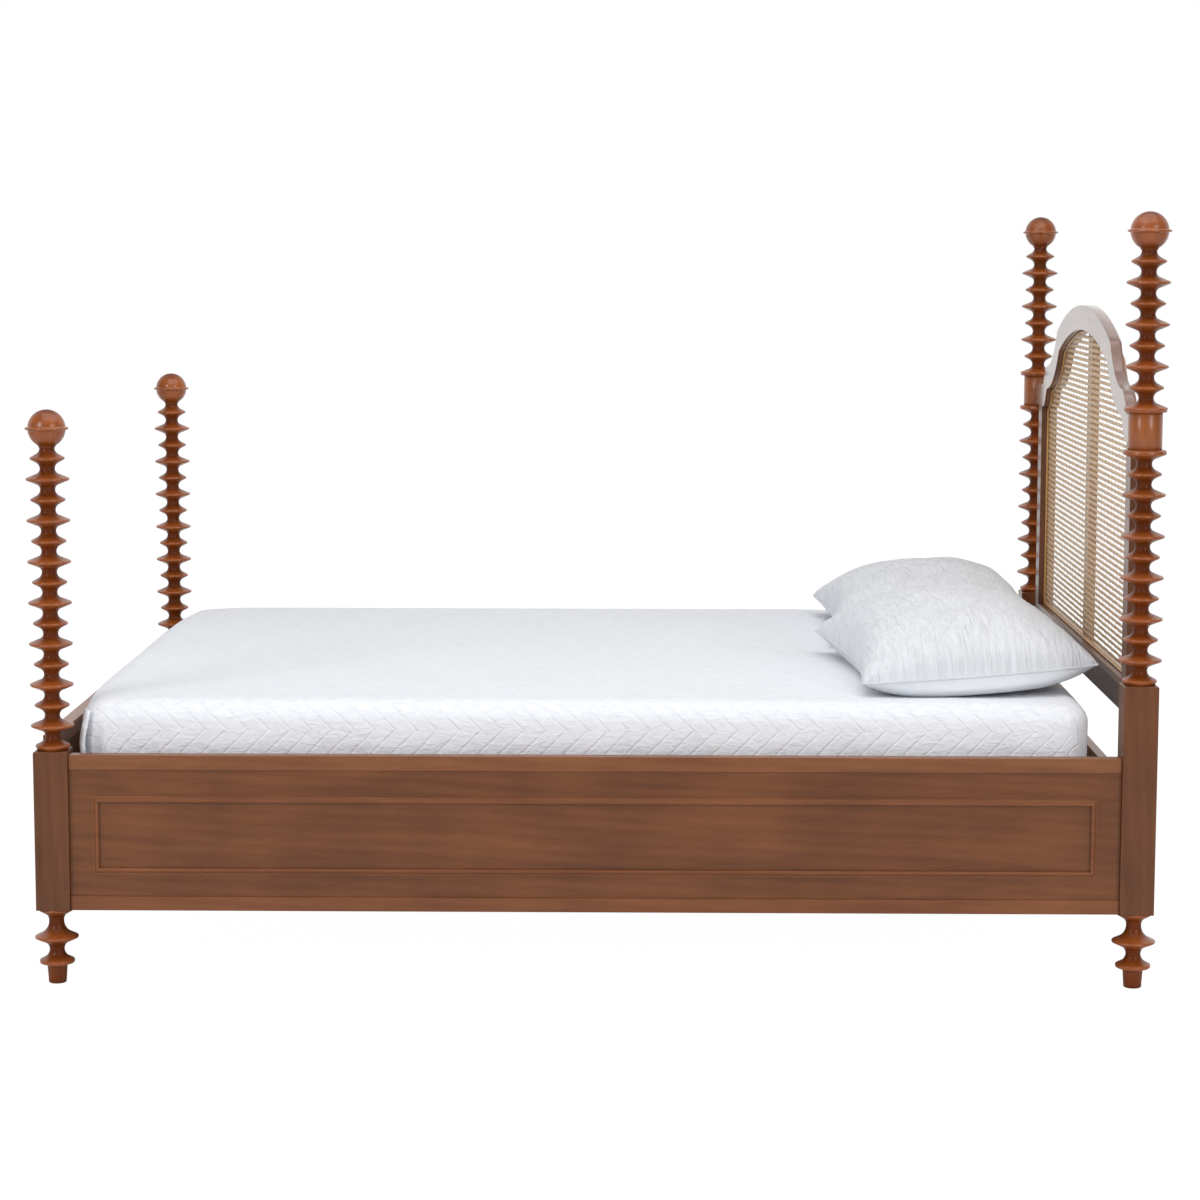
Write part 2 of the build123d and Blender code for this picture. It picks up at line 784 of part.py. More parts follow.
with BuildPart() as centre_slat:
    with BuildSketch(stop_plane):
        add(opening)
        with Locations((0, opening_bottom)):
            Rectangle(
                centre_slat_width,
                crown_top - opening_bottom,
                align=(Align.CENTER, Align.MIN),
                mode=Mode.INTERSECT,
            )
    extrude(amount=stop_thickness)
save(centre_slat, "headboard_centre_slat")

# Ledgers on the side rails, and the slats with the tapes that space them
slat_bottom = slat_top - slat_thickness
ledger_outer = post_y + panel_back
ledger_inner = ledger_outer - ledger_depth
for side_name, side in (("near", -1), ("far", 1)):
    with BuildPart() as ledger:
        ledger_middle = side * (ledger_outer + ledger_inner) / 2
        with Locations((0, ledger_middle, slat_bottom - ledger_height / 2)):
            Box(rail_length, ledger_depth, ledger_height)
    save(ledger, f"{side_name}_slat_ledger")
slat_run = rail_length - 2 * slat_end_gap - slat_width
with BuildPart() as slats:
    with Locations((0, 0, slat_bottom + slat_thickness / 2)):
        with GridLocations(slat_run / (slat_count - 1), 0, slat_count, 1):
            Box(slat_width, 2 * (ledger_outer - slat_length_gap), slat_thickness)
save(slats, "slats")
tape_y = ledger_inner - tape_inset
with BuildPart() as tapes:
    with Locations((0, -tape_y, slat_bottom), (0, tape_y, slat_bottom)):
        Box(
            slat_run + slat_width,
            tape_width,
            tape_thickness,
            align=(Align.CENTER, Align.CENTER, Align.MAX),
        )
save(tapes, "slat_tapes")

# Centre beam, hung in open-topped hangers and propped on legs with glides
end_board_inner = post_x + panel_back
with BuildPart() as beam:
    with Locations((0, 0, slat_bottom - beam_height / 2)):
        Box(2 * (end_board_inner - hanger_clearance), beam_width, beam_height)
save(beam, "centre_beam")
with BuildPart() as hangers:
    hanger_x = end_board_inner - hanger_depth / 2
    hanger_height = beam_height + hanger_floor
    with Locations((-hanger_x, 0, slat_bottom), (hanger_x, 0, slat_bottom)):
        Box(
            hanger_depth,
            hanger_width,
            hanger_height,
            align=(Align.CENTER, Align.CENTER, Align.MAX),
        )
        Box(
            hanger_depth,
            beam_width + 2 * hanger_clearance,
            beam_height,
            align=(Align.CENTER, Align.CENTER, Align.MAX),
            mode=Mode.SUBTRACT,
        )
save(hangers, "beam_hangers")
with BuildPart() as legs:
    with Locations((0, 0, glide_pad_height)):
        with GridLocations(leg_spacing, 0, leg_count, 1):
            Box(
                leg_size,
                leg_size,
                slat_bottom - beam_height - glide_pad_height,
                align=(Align.CENTER, Align.CENTER, Align.MIN),
            )
            Cylinder(
                glide_pin_radius + tenon_clearance,
                glide_pin_length + tenon_clearance,
                align=(Align.CENTER, Align.CENTER, Align.MIN),
                mode=Mode.SUBTRACT,
            )
save(legs, "support_legs")
with BuildPart() as glides:
    with GridLocations(leg_spacing, 0, leg_count, 1):
        Cylinder(glide_radius, glide_pad_height, align=(Align.CENTER, Align.CENTER, Align.MIN))
        Cylinder(
            glide_pin_radius,
            glide_pad_height + glide_pin_length,
            align=(Align.CENTER, Align.CENTER, Align.MIN),
        )
save(glides, "leg_glides")

# Mattress, and the quilted coverlet that fits over it
with BuildPart() as mattress:
    with BuildSketch(Plane.XY.offset(mattress_bottom)):
        with Locations((mattress_x, 0)):
            RectangleRounded(mattress_length, mattress_width, mattress_corner_radius)
    extrude(amount=mattress_thickness)
    chamfer(mattress.faces().sort_by(Axis.Z)[-1].edges(), mattress_edge)
save(mattress, "mattress")
with BuildPart() as cavity:
    with BuildSketch(Plane.XY.offset(mattress_bottom)):
        with Locations((mattress_x, 0)):
            RectangleRounded(
                mattress_length + 2 * resting_gap,
                mattress_width + 2 * resting_gap,
                mattress_corner_radius,
            )
    extrude(amount=mattress_thickness + resting_gap)
    chamfer(cavity.faces().sort_by(Axis.Z)[-1].edges(), mattress_edge)
with BuildPart() as coverlet:
    with BuildSketch(Plane.XY.offset(quilt_hem)):
        with Locations((mattress_x, 0)):
            RectangleRounded(
                mattress_length + 2 * quilt_end_fullness,
                mattress_width + 2 * quilt_side_fullness,
                mattress_corner_radius,
            )
    extrude(amount=quilt_top - quilt_hem)
    fillet(coverlet.faces().sort_by(Axis.Z)[-1].edges(), quilt_edge_radius)
    add(cavity.part, mode=Mode.SUBTRACT)
save(coverlet, "coverlet")

# Pillows: a lens across and a lens along, crossed, with the sides drawn in and trimmed to a seam
with BuildPart() as pillow:
    half_width = pillow_width / 2
    half_length = pillow_length / 2
    tip_width = half_width + pillow_edge_trim
    tip_length = half_length + pillow_edge_trim
    with BuildSketch(Plane.XZ):
        with BuildLine():
            ThreePointArc((-tip_width, 0), (0, pillow_crown), (tip_width, 0))
            ThreePointArc((tip_width, 0), (0, -pillow_belly), (-tip_width, 0))
        make_face()
    extrude(amount=tip_length, both=True)
    with BuildSketch(Plane.YZ):
        with BuildLine():
            end_crown = pillow_crown * pillow_end_fullness
            end_belly = pillow_belly * pillow_end_fullness
            ThreePointArc((-tip_length, 0), (0, end_crown), (tip_length, 0))
            ThreePointArc((tip_length, 0), (0, -end_belly), (-tip_length, 0))
        make_face()
    extrude(amount=tip_width, both=True, mode=Mode.INTERSECT)
    with BuildSketch():
        with BuildLine():
            across = (half_width - pillow_draw, 0)
            along = (0, half_length - pillow_draw)
            ThreePointArc((half_width, -half_length), across, (half_width, half_length))
            ThreePointArc((half_width, half_length), along, (-half_width, half_length))
            mirrored = ((-across[0], 0), (0, -along[1]))
            ThreePointArc((-half_width, half_length), mirrored[0], (-half_width, -half_length))
            ThreePointArc((-half_width, -half_length), mirrored[1], (half_width, -half_length))
        make_face()
    extrude(amount=pillow_crown, both=True, mode=Mode.INTERSECT)
tilted_pillow = pillow.part.rotate(Axis.Y, -pillow_tilt)
pillow_x = headboard_face - pillow_head_gap - pillow_width / 2
pillow_z = quilt_top + resting_gap - tilted_pillow.bounding_box().min.Z
for side_name, side, turn in (("near", -1, near_pillow_turn), ("far", 1, far_pillow_turn)):
    with BuildPart() as placed_pillow:
        with Locations(Location((pillow_x, side * pillow_spacing / 2, pillow_z), (0, 0, turn))):
            add(tilted_pillow)
    save(placed_pillow, f"{side_name}_pillow")
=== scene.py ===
"""Four-poster bed: the visible pieces and finishes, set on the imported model. All places are in metres."""

import bpy
import numpy as np
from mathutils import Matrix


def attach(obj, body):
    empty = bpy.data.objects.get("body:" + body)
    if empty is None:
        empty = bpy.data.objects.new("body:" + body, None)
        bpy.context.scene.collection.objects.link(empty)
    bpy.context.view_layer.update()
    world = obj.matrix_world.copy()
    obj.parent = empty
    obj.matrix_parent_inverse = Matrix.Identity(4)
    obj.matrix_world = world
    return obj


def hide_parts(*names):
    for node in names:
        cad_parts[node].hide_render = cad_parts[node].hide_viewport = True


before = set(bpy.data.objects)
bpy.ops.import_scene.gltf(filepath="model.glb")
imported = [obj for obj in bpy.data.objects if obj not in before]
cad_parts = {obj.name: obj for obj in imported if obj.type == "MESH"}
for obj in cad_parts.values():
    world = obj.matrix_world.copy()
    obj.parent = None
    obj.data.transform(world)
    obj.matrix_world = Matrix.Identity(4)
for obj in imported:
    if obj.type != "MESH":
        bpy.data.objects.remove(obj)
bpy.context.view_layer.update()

# Turned feet
# Rubberwood spun on a lathe: a peg, a low disc, a wide disc and a thin bead under the block.
# The hollows are darkened with painted shade and their reflections are dulled, so they read darker than the
# rims.


def linear(code):
    """Turn an sRGB hex colour into linear red, green, blue and alpha: the inverse of the sRGB curve."""
    channels = np.array([int(code[i : i + 2], 16) for i in (1, 3, 5)]) / 255
    low = channels / 12.92
    high = ((channels + 0.055) / 1.055) ** 2.4
    return (*np.where(channels <= 0.04045, low, high).tolist(), 1.0)


def add(tree, kind, settings=None, inputs=None, stops=()):
    """Add one shader node, set its properties and ramp stops, and set or link its inputs."""
    made = tree.nodes.new("ShaderNode" + kind)
    for key, value in (settings or {}).items():
        setattr(made, key, value)
    wire(tree, made, inputs or {})
    if stops:
        ramp = made.color_ramp.elements
        ramp[0].position, ramp[0].color = stops[0]
        ramp[1].position, ramp[1].color = stops[-1]
        for place, colour in stops[1:-1]:
            ramp.new(place).color = colour
    return made


def wire(tree, made, inputs):
    """Set each named input of a node to its value, or link it where the value is a socket."""
    for key, value in inputs.items():
        if isinstance(value, bpy.types.NodeSocket):
            tree.links.new(value, made.inputs[key])
        else:
            made.inputs[key].default_value = value


def stained_wood(name, grain, dark, light, contrast=1.0, lacquer=0.25, sheen=0.22):
    """Stained, lacquered rubberwood with its grain along X, Y or Z.

    Broad figure, growth bands and fibres are noise stretched along the grain. They are added with
    weights and run through a ramp from dark to light. Pores are short dark dashes on top.
    """
    made = bpy.data.materials.new(name)
    made.use_nodes = True
    tree = made.node_tree
    shader = tree.nodes["Principled BSDF"]
    place = add(tree, "TexCoord").outputs["Object"]

    def stretched(across, along):
        scale = [1000 / across] * 3
        scale["XYZ".index(grain)] = 1000 / along
        return add(tree, "Mapping", None, {"Vector": place, "Scale": scale}).outputs[0]

    figure = add(
        tree,
        "TexNoise",
        None,
        {"Vector": stretched(46, 420), "Scale": 1.0, "Detail": 4.0, "Distortion": 0.6},
    )
    bands = add(
        tree,
        "TexWave",
        {"bands_direction": "DIAGONAL"},
        {
            "Vector": stretched(24, 420),
            "Scale": 0.6,
            "Distortion": 4.0,
            "Detail": 2.0,
            "Detail Scale": 1.4,
        },
    )
    fibres = add(
        tree,
        "TexNoise",
        None,
        {"Vector": stretched(3.0, 55), "Scale": 1.0, "Detail": 5.0, "Roughness": 0.7},
    )
    pores = add(
        tree,
        "TexNoise",
        None,
        {"Vector": stretched(1.6, 22), "Scale": 1.0, "Detail": 2.0},
    )
    blotch = add(tree, "TexNoise", None, {"Vector": place, "Scale": 5.0, "Detail": 2.0})
    broad = add(
        tree,
        "Mix",
        None,
        {0: 0.14, 2: figure.outputs[0], 3: bands.outputs["Fac"]},
    )
    streaked = add(tree, "Mix", None, {0: 0.42, 2: broad.outputs[0], 3: fibres.outputs[0]})
    mottled = add(tree, "Mix", None, {0: 0.3, 2: streaked.outputs[0], 3: blotch.outputs[0]})
    half = 0.2 / contrast
    ramp = add(
        tree,
        "ValToRGB",
        None,
        {"Fac": mottled.outputs[0]},
        [(0.5 - half, linear(dark)), (0.5 + half, linear(light))],
    )
    dashes = add(
        tree,
        "ValToRGB",
        None,
        {"Fac": pores.outputs[0]},
        [(0.6, (1, 1, 1, 1)), (0.75, (0.86, 0.82, 0.79, 1))],
    )
    grained = add(
        tree,
        "Mix",
        {"data_type": "RGBA", "blend_type": "MULTIPLY"},
        {0: 1.0, 6: ramp.outputs[0], 7: dashes.outputs[0]},
    )
    # Where a piece carries the hollow attribute, painted shade multiplies its colour towards dark brown, and
    # its specular level and coat are dulled there.
    hollow = add(tree, "Attribute", {"attribute_name": "hollow"})
    hollow_painted_shade = add(
        tree,
        "Mix",
        {"data_type": "RGBA", "blend_type": "MULTIPLY"},
        {0: hollow.outputs["Fac"], 6: grained.outputs[2], 7: (0.3, 0.2, 0.14, 1.0)},
    )
    gloss = add(
        tree,
        "MapRange",
        None,
        {"Value": mottled.outputs[0], "From Min": 0.3, "From Max": 0.7, "To Min": 0.42, "To Max": 0.34},
    )
    relief = add(
        tree,
        "Bump",
        None,
        {"Height": fibres.outputs[0], "Strength": 0.12, "Distance": 0.0004},
    )
    dulled = add(tree, "MapRange", None, {"Value": hollow.outputs["Fac"], "To Min": 0.3, "To Max": 0.05})
    coated = add(tree, "MapRange", None, {"Value": hollow.outputs["Fac"], "To Min": lacquer, "To Max": 0.0})
    wire(
        tree,
        shader,
        {
            "Base Color": hollow_painted_shade.outputs[2],
            "Roughness": gloss.outputs[0],
            "Normal": relief.outputs[0],
            "Specular IOR Level": dulled.outputs[0],
            "Coat Weight": coated.outputs[0],
            "Coat Roughness": sheen,
        },
    )
    return made


def put_mesh(name, points, faces, material, body="bed_frame", slot="stained_wood", smooth=True):
    """Make an object from points in millimetres and lists of faces, and fix it to its body."""
    mesh = bpy.data.meshes.new(name)
    mesh.from_pydata((np.asarray(points) / 1000).tolist(), [], faces)
    mesh.polygons.foreach_set("use_smooth", np.full(len(mesh.polygons), smooth))
    mesh.materials.append(material)
    mesh.update()
    made = bpy.data.objects.new(name, mesh)
    bpy.context.scene.collection.objects.link(made)
    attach(made, body)
    return made


def grid_faces(rows, columns, closed, shift=0):
    """List the quads of a grid of points stored row by row, wrapped round if it is closed."""
    row, column = np.meshgrid(np.arange(rows - 1), np.arange(columns - 1 + closed), indexing="ij")
    after = (column + 1) % columns
    corners = [row * columns + column, row * columns + after]
    corners += [(row + 1) * columns + after, (row + 1) * columns + column]
    return (np.stack(corners, -1).reshape(-1, 4) + shift).tolist()


def turned(name, outline, places, material, turns=64):
    """Spin an outline of radius and height about upright axes, one for each place.

    A point is (x + r cos a, y + r sin a, z + h). The outline's first and last radius are 0, and each
    is one pole with a fan round it. The hollow attribute, which sets the painted shade in the hollows,
    is 0 at radius 34 mm and 0.8 at 15 mm.
    """
    outline = np.asarray(outline, float)
    angle = np.linspace(0, 2 * np.pi, turns, endpoint=False)
    radius, height = outline[1:-1, 0], outline[1:-1, 1]
    ring = np.stack([np.outer(radius, np.cos(angle)), np.outer(radius, np.sin(angle))], -1)
    wall = np.concatenate([ring, np.repeat(height[:, None, None], turns, 1)], -1).reshape(-1, 3)
    poles = np.array([[0, 0, outline[0, 1]], [0, 0, outline[-1, 1]]])
    one = np.concatenate([wall, poles])
    step = np.arange(turns)
    after = (step + 1) % turns
    top = (len(radius) - 1) * turns
    points, faces = [], []
    for count, place in enumerate(places):
        shift = count * len(one)
        points.append(one + np.asarray(place))
        faces += grid_faces(len(radius), turns, 1, shift)
        foot = np.stack([np.full(turns, len(wall)), after, step], -1) + shift
        crown = np.stack([np.full(turns, len(wall) + 1), top + step, top + after], -1) + shift
        faces += foot.tolist() + crown.tolist()
    made = put_mesh(name, np.concatenate(points), faces, material)
    depth = np.clip((34 - np.append(np.repeat(radius, turns), [0, 0])) / 19, 0, 1)
    hollow = made.data.attributes.new("hollow", "FLOAT", "POINT")
    hollow.data.foreach_set("value", np.tile(depth * 0.8, len(places)).astype(np.float32))
    return made


def arc(centre, radius, start, end, count):
    """List points on an arc from one angle to another, in degrees from the outward direction."""
    angle = np.radians(np.linspace(start, end, count))
    return np.stack([centre[0] + radius * np.cos(angle), centre[1] + radius * np.sin(angle)], -1)


def flank(rim, waist, run, slope, edge=3.0):
    """Outline from a disc's rim up to the waist, run above it: a rounded edge, a slope and a cove.

    The cove's radius is the one that meets both the slope and the upright waist without a corner.
    """
    tilt = np.radians(slope)
    cove = ((waist - rim + edge) * np.sin(tilt) + run * np.cos(tilt) - edge) / (1 - np.sin(tilt))
    rounded = arc((rim - edge, 0), edge, 0, 90 - slope, 5)
    hollow = arc((waist + cove, run), cove, 270 - slope, 180, 9)
    return np.concatenate([rounded, hollow])


def disc(rim, height, below, above, slope, waist=15.0):
    """Outline of one disc, from the waist below it to the waist above it."""
    under = flank(rim, waist, below, slope)[::-1] * [1, -1]
    over = flank(rim, waist, above, slope)[1:]
    return np.concatenate([under, over]) + [0, height]


post_x, post_y = 1093.5, 800.0
foot_posts = [(-post_x, -post_y, 0), (-post_x, post_y, 0)]
head_posts = [(post_x, -post_y, 0), (post_x, post_y, 0)]
turned_stain = stained_wood("rubberwood_turned_brown_stain", "Z", "#6a3411", "#b05d25", 0.7, 0.5, 0.16)
peg = np.array([[0, 0], [16.5, 0], [18.0, 1.5], [18.6, 12], [20.2, 34], [22.5, 39.5]])
low_disc = np.concatenate([arc((32.2, 43.5), 3.0, -80, 0, 5), disc(35.6, 46, 6, 24, 26)[-13:]])
wide_disc = disc(44.0, 95.1, 25.1, 32.9, 25, 15.2)
bead_disc = flank(35.5, 15.2, 22, 30)[::-1] * [1, -1] + [0, 152]
foot_end = np.array([[35.0, 154.2], [33.0, 155], [0, 155]])
feet = turned(
    "turned_feet_spun",
    np.concatenate([peg, low_disc, wide_disc[1:], bead_disc[1:], foot_end]),
    foot_posts + head_posts,
    turned_stain,
)
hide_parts("turned_feet")

# Square post blocks
# Solid rubberwood, 69 mm square, planed and sanded, with the arrises eased by about 2 mm.
# The stain is a shade darker than on the turnings, with the grain upright.


def ease(node, width, material):
    """Merge a CAD node's loose triangles, round its sharp edges by width, and give it its finish."""
    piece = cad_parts[node]
    weld = piece.modifiers.new("merge", "WELD")
    weld.merge_threshold = 0.00002
    rounding = piece.modifiers.new("ease", "BEVEL")
    rounding.width = width / 1000
    rounding.segments = 2
    rounding.limit_method = "ANGLE"
    rounding.angle_limit = np.radians(40)
    dress(node, material)


def dress(node, material):
    """Put one material on every slot of a CAD node."""
    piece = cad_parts[node]
    if not piece.data.materials:
        piece.data.materials.append(None)
    for held in piece.material_slots:
        held.link = "OBJECT"
        held.material = material


upright_stain = stained_wood("rubberwood_block_brown_stain", "Z", "#4b270c", "#7a4826")
for node in ("near_foot_block", "far_foot_block", "near_head_block", "far_head_block"):
    ease(node, 2.0, upright_stain)

# Spool-turned post lengths
# Each length is one rubberwood spindle: thin discs of two sizes in turn on a pitch of 41.5 mm,
# with coved necks between them. A half disc spreads each seat on the block or barrel under it.
pitch = 41.5


def spool(seat, start_radius, rims, ending):
    """Outline of a spool length: a half disc on its seat, full discs, and the ending's points."""
    slopes = {43.7: 22, 35.1: 28}
    first, height = rims[0]
    seated = np.array([[0, seat], [start_radius, seat]])
    edge = arc((first - 3, height), 3, -60, 0, 4)
    half = flank(first, 15, pitch / 2, slopes[first]) + [0, height]
    full = [disc(r, z, pitch / 2, pitch / 2, slopes[r])[1:] for r, z in rims[1:]]
    return np.concatenate([seated, edge, half[1:], *full, ending])


def rims_in_turn(first, second, start, count):
    """List radius and height of discs that alternate between two sizes."""
    return [((first, second)[i % 2], start + i * pitch) for i in range(count)]


foot_rims = rims_in_turn(35.1, 43.7, 488.5, 15)
neck_top = foot_rims[-1][1] + pitch / 2
foot_spools = turned(
    "foot_post_spools",
    spool(480.5, 31.5, foot_rims, [[0, neck_top]]),
    foot_posts,
    turned_stain,
)
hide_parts("foot_spindles")
lower_rims = rims_in_turn(35.1, 43.7, 628.5, 11)
last_cove = flank(43.7, 15, pitch / 2, 22)[::-1] * [1, -1] + [0, 1085.0]
flat_top = [[43.2, 1088.5], [41.8, 1091.3], [0, 1091.3]]
lower_spools = turned(
    "head_post_lower_spools",
    spool(620.5, 31.5, lower_rims, np.concatenate([last_cove[1:], flat_top])),
    head_posts,
    turned_stain,
)
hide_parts("head_lower_spindles")
upper_rims = rims_in_turn(43.7, 35.1, 1173.6, 8)
upper_spools = turned(
    "head_post_upper_spools",
    spool(1167.3, 42.2, upper_rims, [[0, 1484.85]]),
    head_posts,
    turned_stain,
)
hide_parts("head_upper_spindles")

# Barrels
# Plain turned cylinders where the headboard's ears are housed into the head posts.
# The grain shows best here, upright and a little lighter than on the blocks.
barrel_stain = stained_wood("rubberwood_barrel_brown_stain", "Z", "#793f17", "#a65e2c", 1.2, 0.5, 0.2)
barrel_wall = [[0, 1091.3], [33.2, 1091.3], [34, 1092.1], [34, 1166.5], [33.2, 1167.3], [0, 1167.3]]
barrels = turned("head_post_barrels", barrel_wall, head_posts, barrel_stain, 96)
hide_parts("head_barrels")

# Ball tops
# Turned balls with a thin ring left proud round the middle, on a coved neck.
# Their crowns, where the radius is small, get the painted shade of the hollows and read darker than the sides.
ball, ring, ring_edge = 38.0, 43.6, 3.25
ring_root = np.sqrt(ball**2 - ring_edge**2)
lift = 59.8 - pitch / 2
root_angle = np.degrees(np.arcsin(ring_edge / ball))
neck = flank(22.0, 14.6, lift - 35.0, 38, 1.0)[::-1] * [1, -1] + [0, lift - 35.0]
under_ball = arc((0, lift), ball, -60, -root_angle, 12)
ring_edge_round = arc((ring - 2.6, lift), 2.6, -80, 80, 9)
over_ball = arc((0, lift), ball, root_angle, 90, 20)
ball_outline = np.concatenate([[[0, 0]], neck[:8], under_ball, ring_edge_round, over_ball[:-1]])
ball_outline = np.concatenate([ball_outline, [[0, lift + ball]]])
ball_places = [(-post_x, -post_y, neck_top), (-post_x, post_y, neck_top)]
ball_places += [(post_x, -post_y, 1484.85), (post_x, post_y, 1484.85)]
balls = turned("ball_tops", ball_outline, ball_places, turned_stain, 96)
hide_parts("ball_finials")

# Side rails and footboard
# A square cap and a bottom band with a board set back 3 mm between them, glued up as one rail.
# The caps are stained lighter than the boards: painted light for the light they take.
# The boards are veneered with a calm long grain.
cap_stain_and_light = stained_wood("rubberwood_cap_brown_stain_and_light", "X", "#683a1d", "#915b36")
board_stain = stained_wood("rubberwood_board_brown_stain", "X", "#522b11", "#834e29")
band_stain = stained_wood("rubberwood_band_brown_stain", "X", "#65361a", "#8b542f")
for side in ("near", "far"):
    ease(f"{side}_rail_cap", 2.0, cap_stain_and_light)
    ease(f"{side}_rail_panel", 0.8, board_stain)
    ease(f"{side}_rail_band", 1.5, band_stain)
# The footboard's cap gets the same lighter stain, painted light for the light it takes.
end_cap_stain_and_light = stained_wood("rubberwood_end_cap_brown_stain_and_light", "Y", "#683a1d", "#915b36")
end_board_stain = stained_wood("rubberwood_end_board_brown_stain", "Y", "#522b11", "#834e29")
ease("footboard_cap", 2.0, end_cap_stain_and_light)
ease("footboard_panel", 0.8, end_board_stain)
ease("footboard_band", 1.5, end_board_stain)
ease("lower_head_rail", 1.0, end_board_stain)

# Applied moulding frames
# Thin strips of ogee moulding, mitred at the corners and pinned to the boards.
# Each has a low outer step, a cove and a half-round bead whose lit top draws the pale line.


def moulding(name, corners, inward, outward, node, material):
    """Carry the ogee section round a closed row of mitred corners.

    A point is corner + u times the sum of the two inward directions + h times the outward normal,
    where u runs across the strip and h is its height above the board.
    """
    cove = arc((1.2, 5.6), 4.6, 275, 350, 6)
    bead = arc((10.0, 4.2), 3.8, 165, 0, 10)
    section = np.concatenate([[[0, -0.4], [0, 1.0]], cove, bead, [[14, -0.4]]])
    points = corners[:, None] + inward[:, None] * section[None, :, :1]
    points = points + np.asarray(outward) * section[None, :, 1:]
    rows, columns = len(corners), len(section)
    faces = np.array(grid_faces(rows + 1, columns, 1)) % (rows * columns)
    made = put_mesh(name, points.reshape(-1, 3), faces.tolist(), material, smooth=False)
    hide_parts(node)
    return made


square = np.array([[1, -1], [-1, -1], [-1, 1], [1, 1]], float)
low, high = 229.0, 391.0
middle, half_high = (low + high) / 2, (high - low) / 2
for side, name in ((-1, "near"), (1, "far")):
    run = 1012.5
    turn = square if side < 0 else square[::-1]
    corners = np.stack([turn[:, 0] * run, np.full(4, side * 825.0), middle + turn[:, 1] * half_high], -1)
    inward = np.stack([-turn[:, 0], np.zeros(4), -turn[:, 1]], -1)
    moulding(f"{name}_rail_ogee", corners, inward, (0, side, 0), f"{name}_rail_moulding", band_stain)
end_middle, end_half = (229.0 + 420.5) / 2, (420.5 - 229.0) / 2
corners = np.stack([np.full(4, -1118.5), -square[:, 0] * 719, end_middle + square[:, 1] * end_half], -1)
inward = np.stack([np.zeros(4), square[:, 0], -square[:, 1]], -1)
moulding("footboard_ogee", corners, inward, (-1, 0, 0), "footboard_moulding", end_board_stain)

# Hook and slot plates
# Pressed steel, zinc plated, screwed into the rail ends and the posts. They hide in the joints.
# Fine brushed streaks and a faint yellow cast are what zinc plate shows.
zinc = bpy.data.materials.new("zinc_plated_pressed_steel")
zinc.use_nodes = True
tree = zinc.node_tree
place = add(tree, "TexCoord").outputs["Object"]
rolled = add(tree, "Mapping", None, {"Vector": place, "Scale": (900.0, 900.0, 40.0)}).outputs[0]
streaks = add(tree, "TexNoise", None, {"Vector": rolled, "Scale": 1.0, "Detail": 3.0})
tone = add(
    tree,
    "ValToRGB",
    None,
    {"Fac": streaks.outputs[0]},
    [(0.3, linear("#9a9c98")), (0.7, linear("#c2c3bd"))],
)
satin = add(tree, "MapRange", None, {"Value": streaks.outputs[0], "To Min": 0.3, "To Max": 0.48})
wire(
    tree,
    tree.nodes["Principled BSDF"],
    {"Base Color": tone.outputs[0], "Metallic": 1.0, "Roughness": satin.outputs[0]},
)
ease("rail_hook_plates", 0.4, zinc)
ease("post_slot_plates", 0.4, zinc)

# Headboard frame
# A sawn and shaped board with ears that run into the barrels, on two stiles, a sill and a rail.
# Its edges were spindle-sanded and stay darker than its face.
crown_stain = stained_wood("rubberwood_headboard_brown_stain", "Y", "#4f2d1b", "#7c4f36", 1.0, 1.0, 0.12)
stile_stain = stained_wood("rubberwood_stile_brown_stain", "Z", "#4b2a19", "#754a31", 1.0, 0.3, 0.2)
sill_stain = stained_wood("rubberwood_sill_brown_stain", "Y", "#4b2a19", "#754a31", 1.0, 0.3, 0.2)
# The cross rail is stained much darker and has no lacquer: painted shade for the dark gap it sits in.
cross_rail_stain_and_shade = stained_wood("rubberwood_cross_rail_stain_and_shade", "Y", "#341c12", "#50301f", 1.0, 0.0)
ease("headboard_crown", 1.2, crown_stain)
ease("near_headboard_stile", 1.2, stile_stain)
ease("far_headboard_stile", 1.2, stile_stain)
ease("headboard_sill", 1.2, sill_stain)
ease("headboard_cross_rail", 1.5, cross_rail_stain_and_shade)
ease("headboard_dowels", 0.5, cross_rail_stain_and_shade)


def headboard_outline():
    """Points round the headboard's outer edge, as place across the bed and height above the floor.

    The right half is three arcs from the ear's root to the crown's top, each through three points,
    and straight lines down the stile and along the bottom. The left half is its mirror.
    """

    def through(start, end, bow):
        start, end = np.array(start, float), np.array(end, float)
        chord = end - start
        run = np.hypot(*chord)
        across = np.array([-chord[1], chord[0]]) / run
        t = np.linspace(0, 1, 40)[:, None]
        radius = (run**2 / 4 + bow**2) / (2 * bow)
        along = (t - 0.5) * run
        stand = np.sqrt(radius**2 - along**2) - abs(radius - bow)
        return start + chord * t + across * stand * np.sign(bow)

    ear, shoulder, crown = (630, 1153), (572, 1200), (400, 1291)
    rise = 1360 - 1291
    radius = (400**2 + rise**2) / (2 * rise)
    y = np.linspace(400, 0, 60)
    top = np.stack([y, 1360 - radius + np.sqrt(radius**2 - y**2)], -1)
    bulge = through(ear, shoulder, -6.0)
    hollow = through(shoulder, crown, 23.0)
    right = np.concatenate([[[0, 553], [695, 553], [695, 1153]], bulge, hollow[1:], top[1:]])
    left = right[::-1][1:-1] * [-1, 1]
    return np.concatenate([right, left])


edge = headboard_outline()


def clearance(points):
    """Shortest distance from each point to the headboard's outer edge."""
    start, end = edge, np.roll(edge, -1, 0)
    chord = end - start
    size = (chord**2).sum(-1) + 1e-9
    away = points[:, None] - start[None]
    t = np.clip((away * chord).sum(-1) / size, 0, 1)
    return np.sqrt(((away - chord * t[..., None]) ** 2).sum(-1)).min(1)


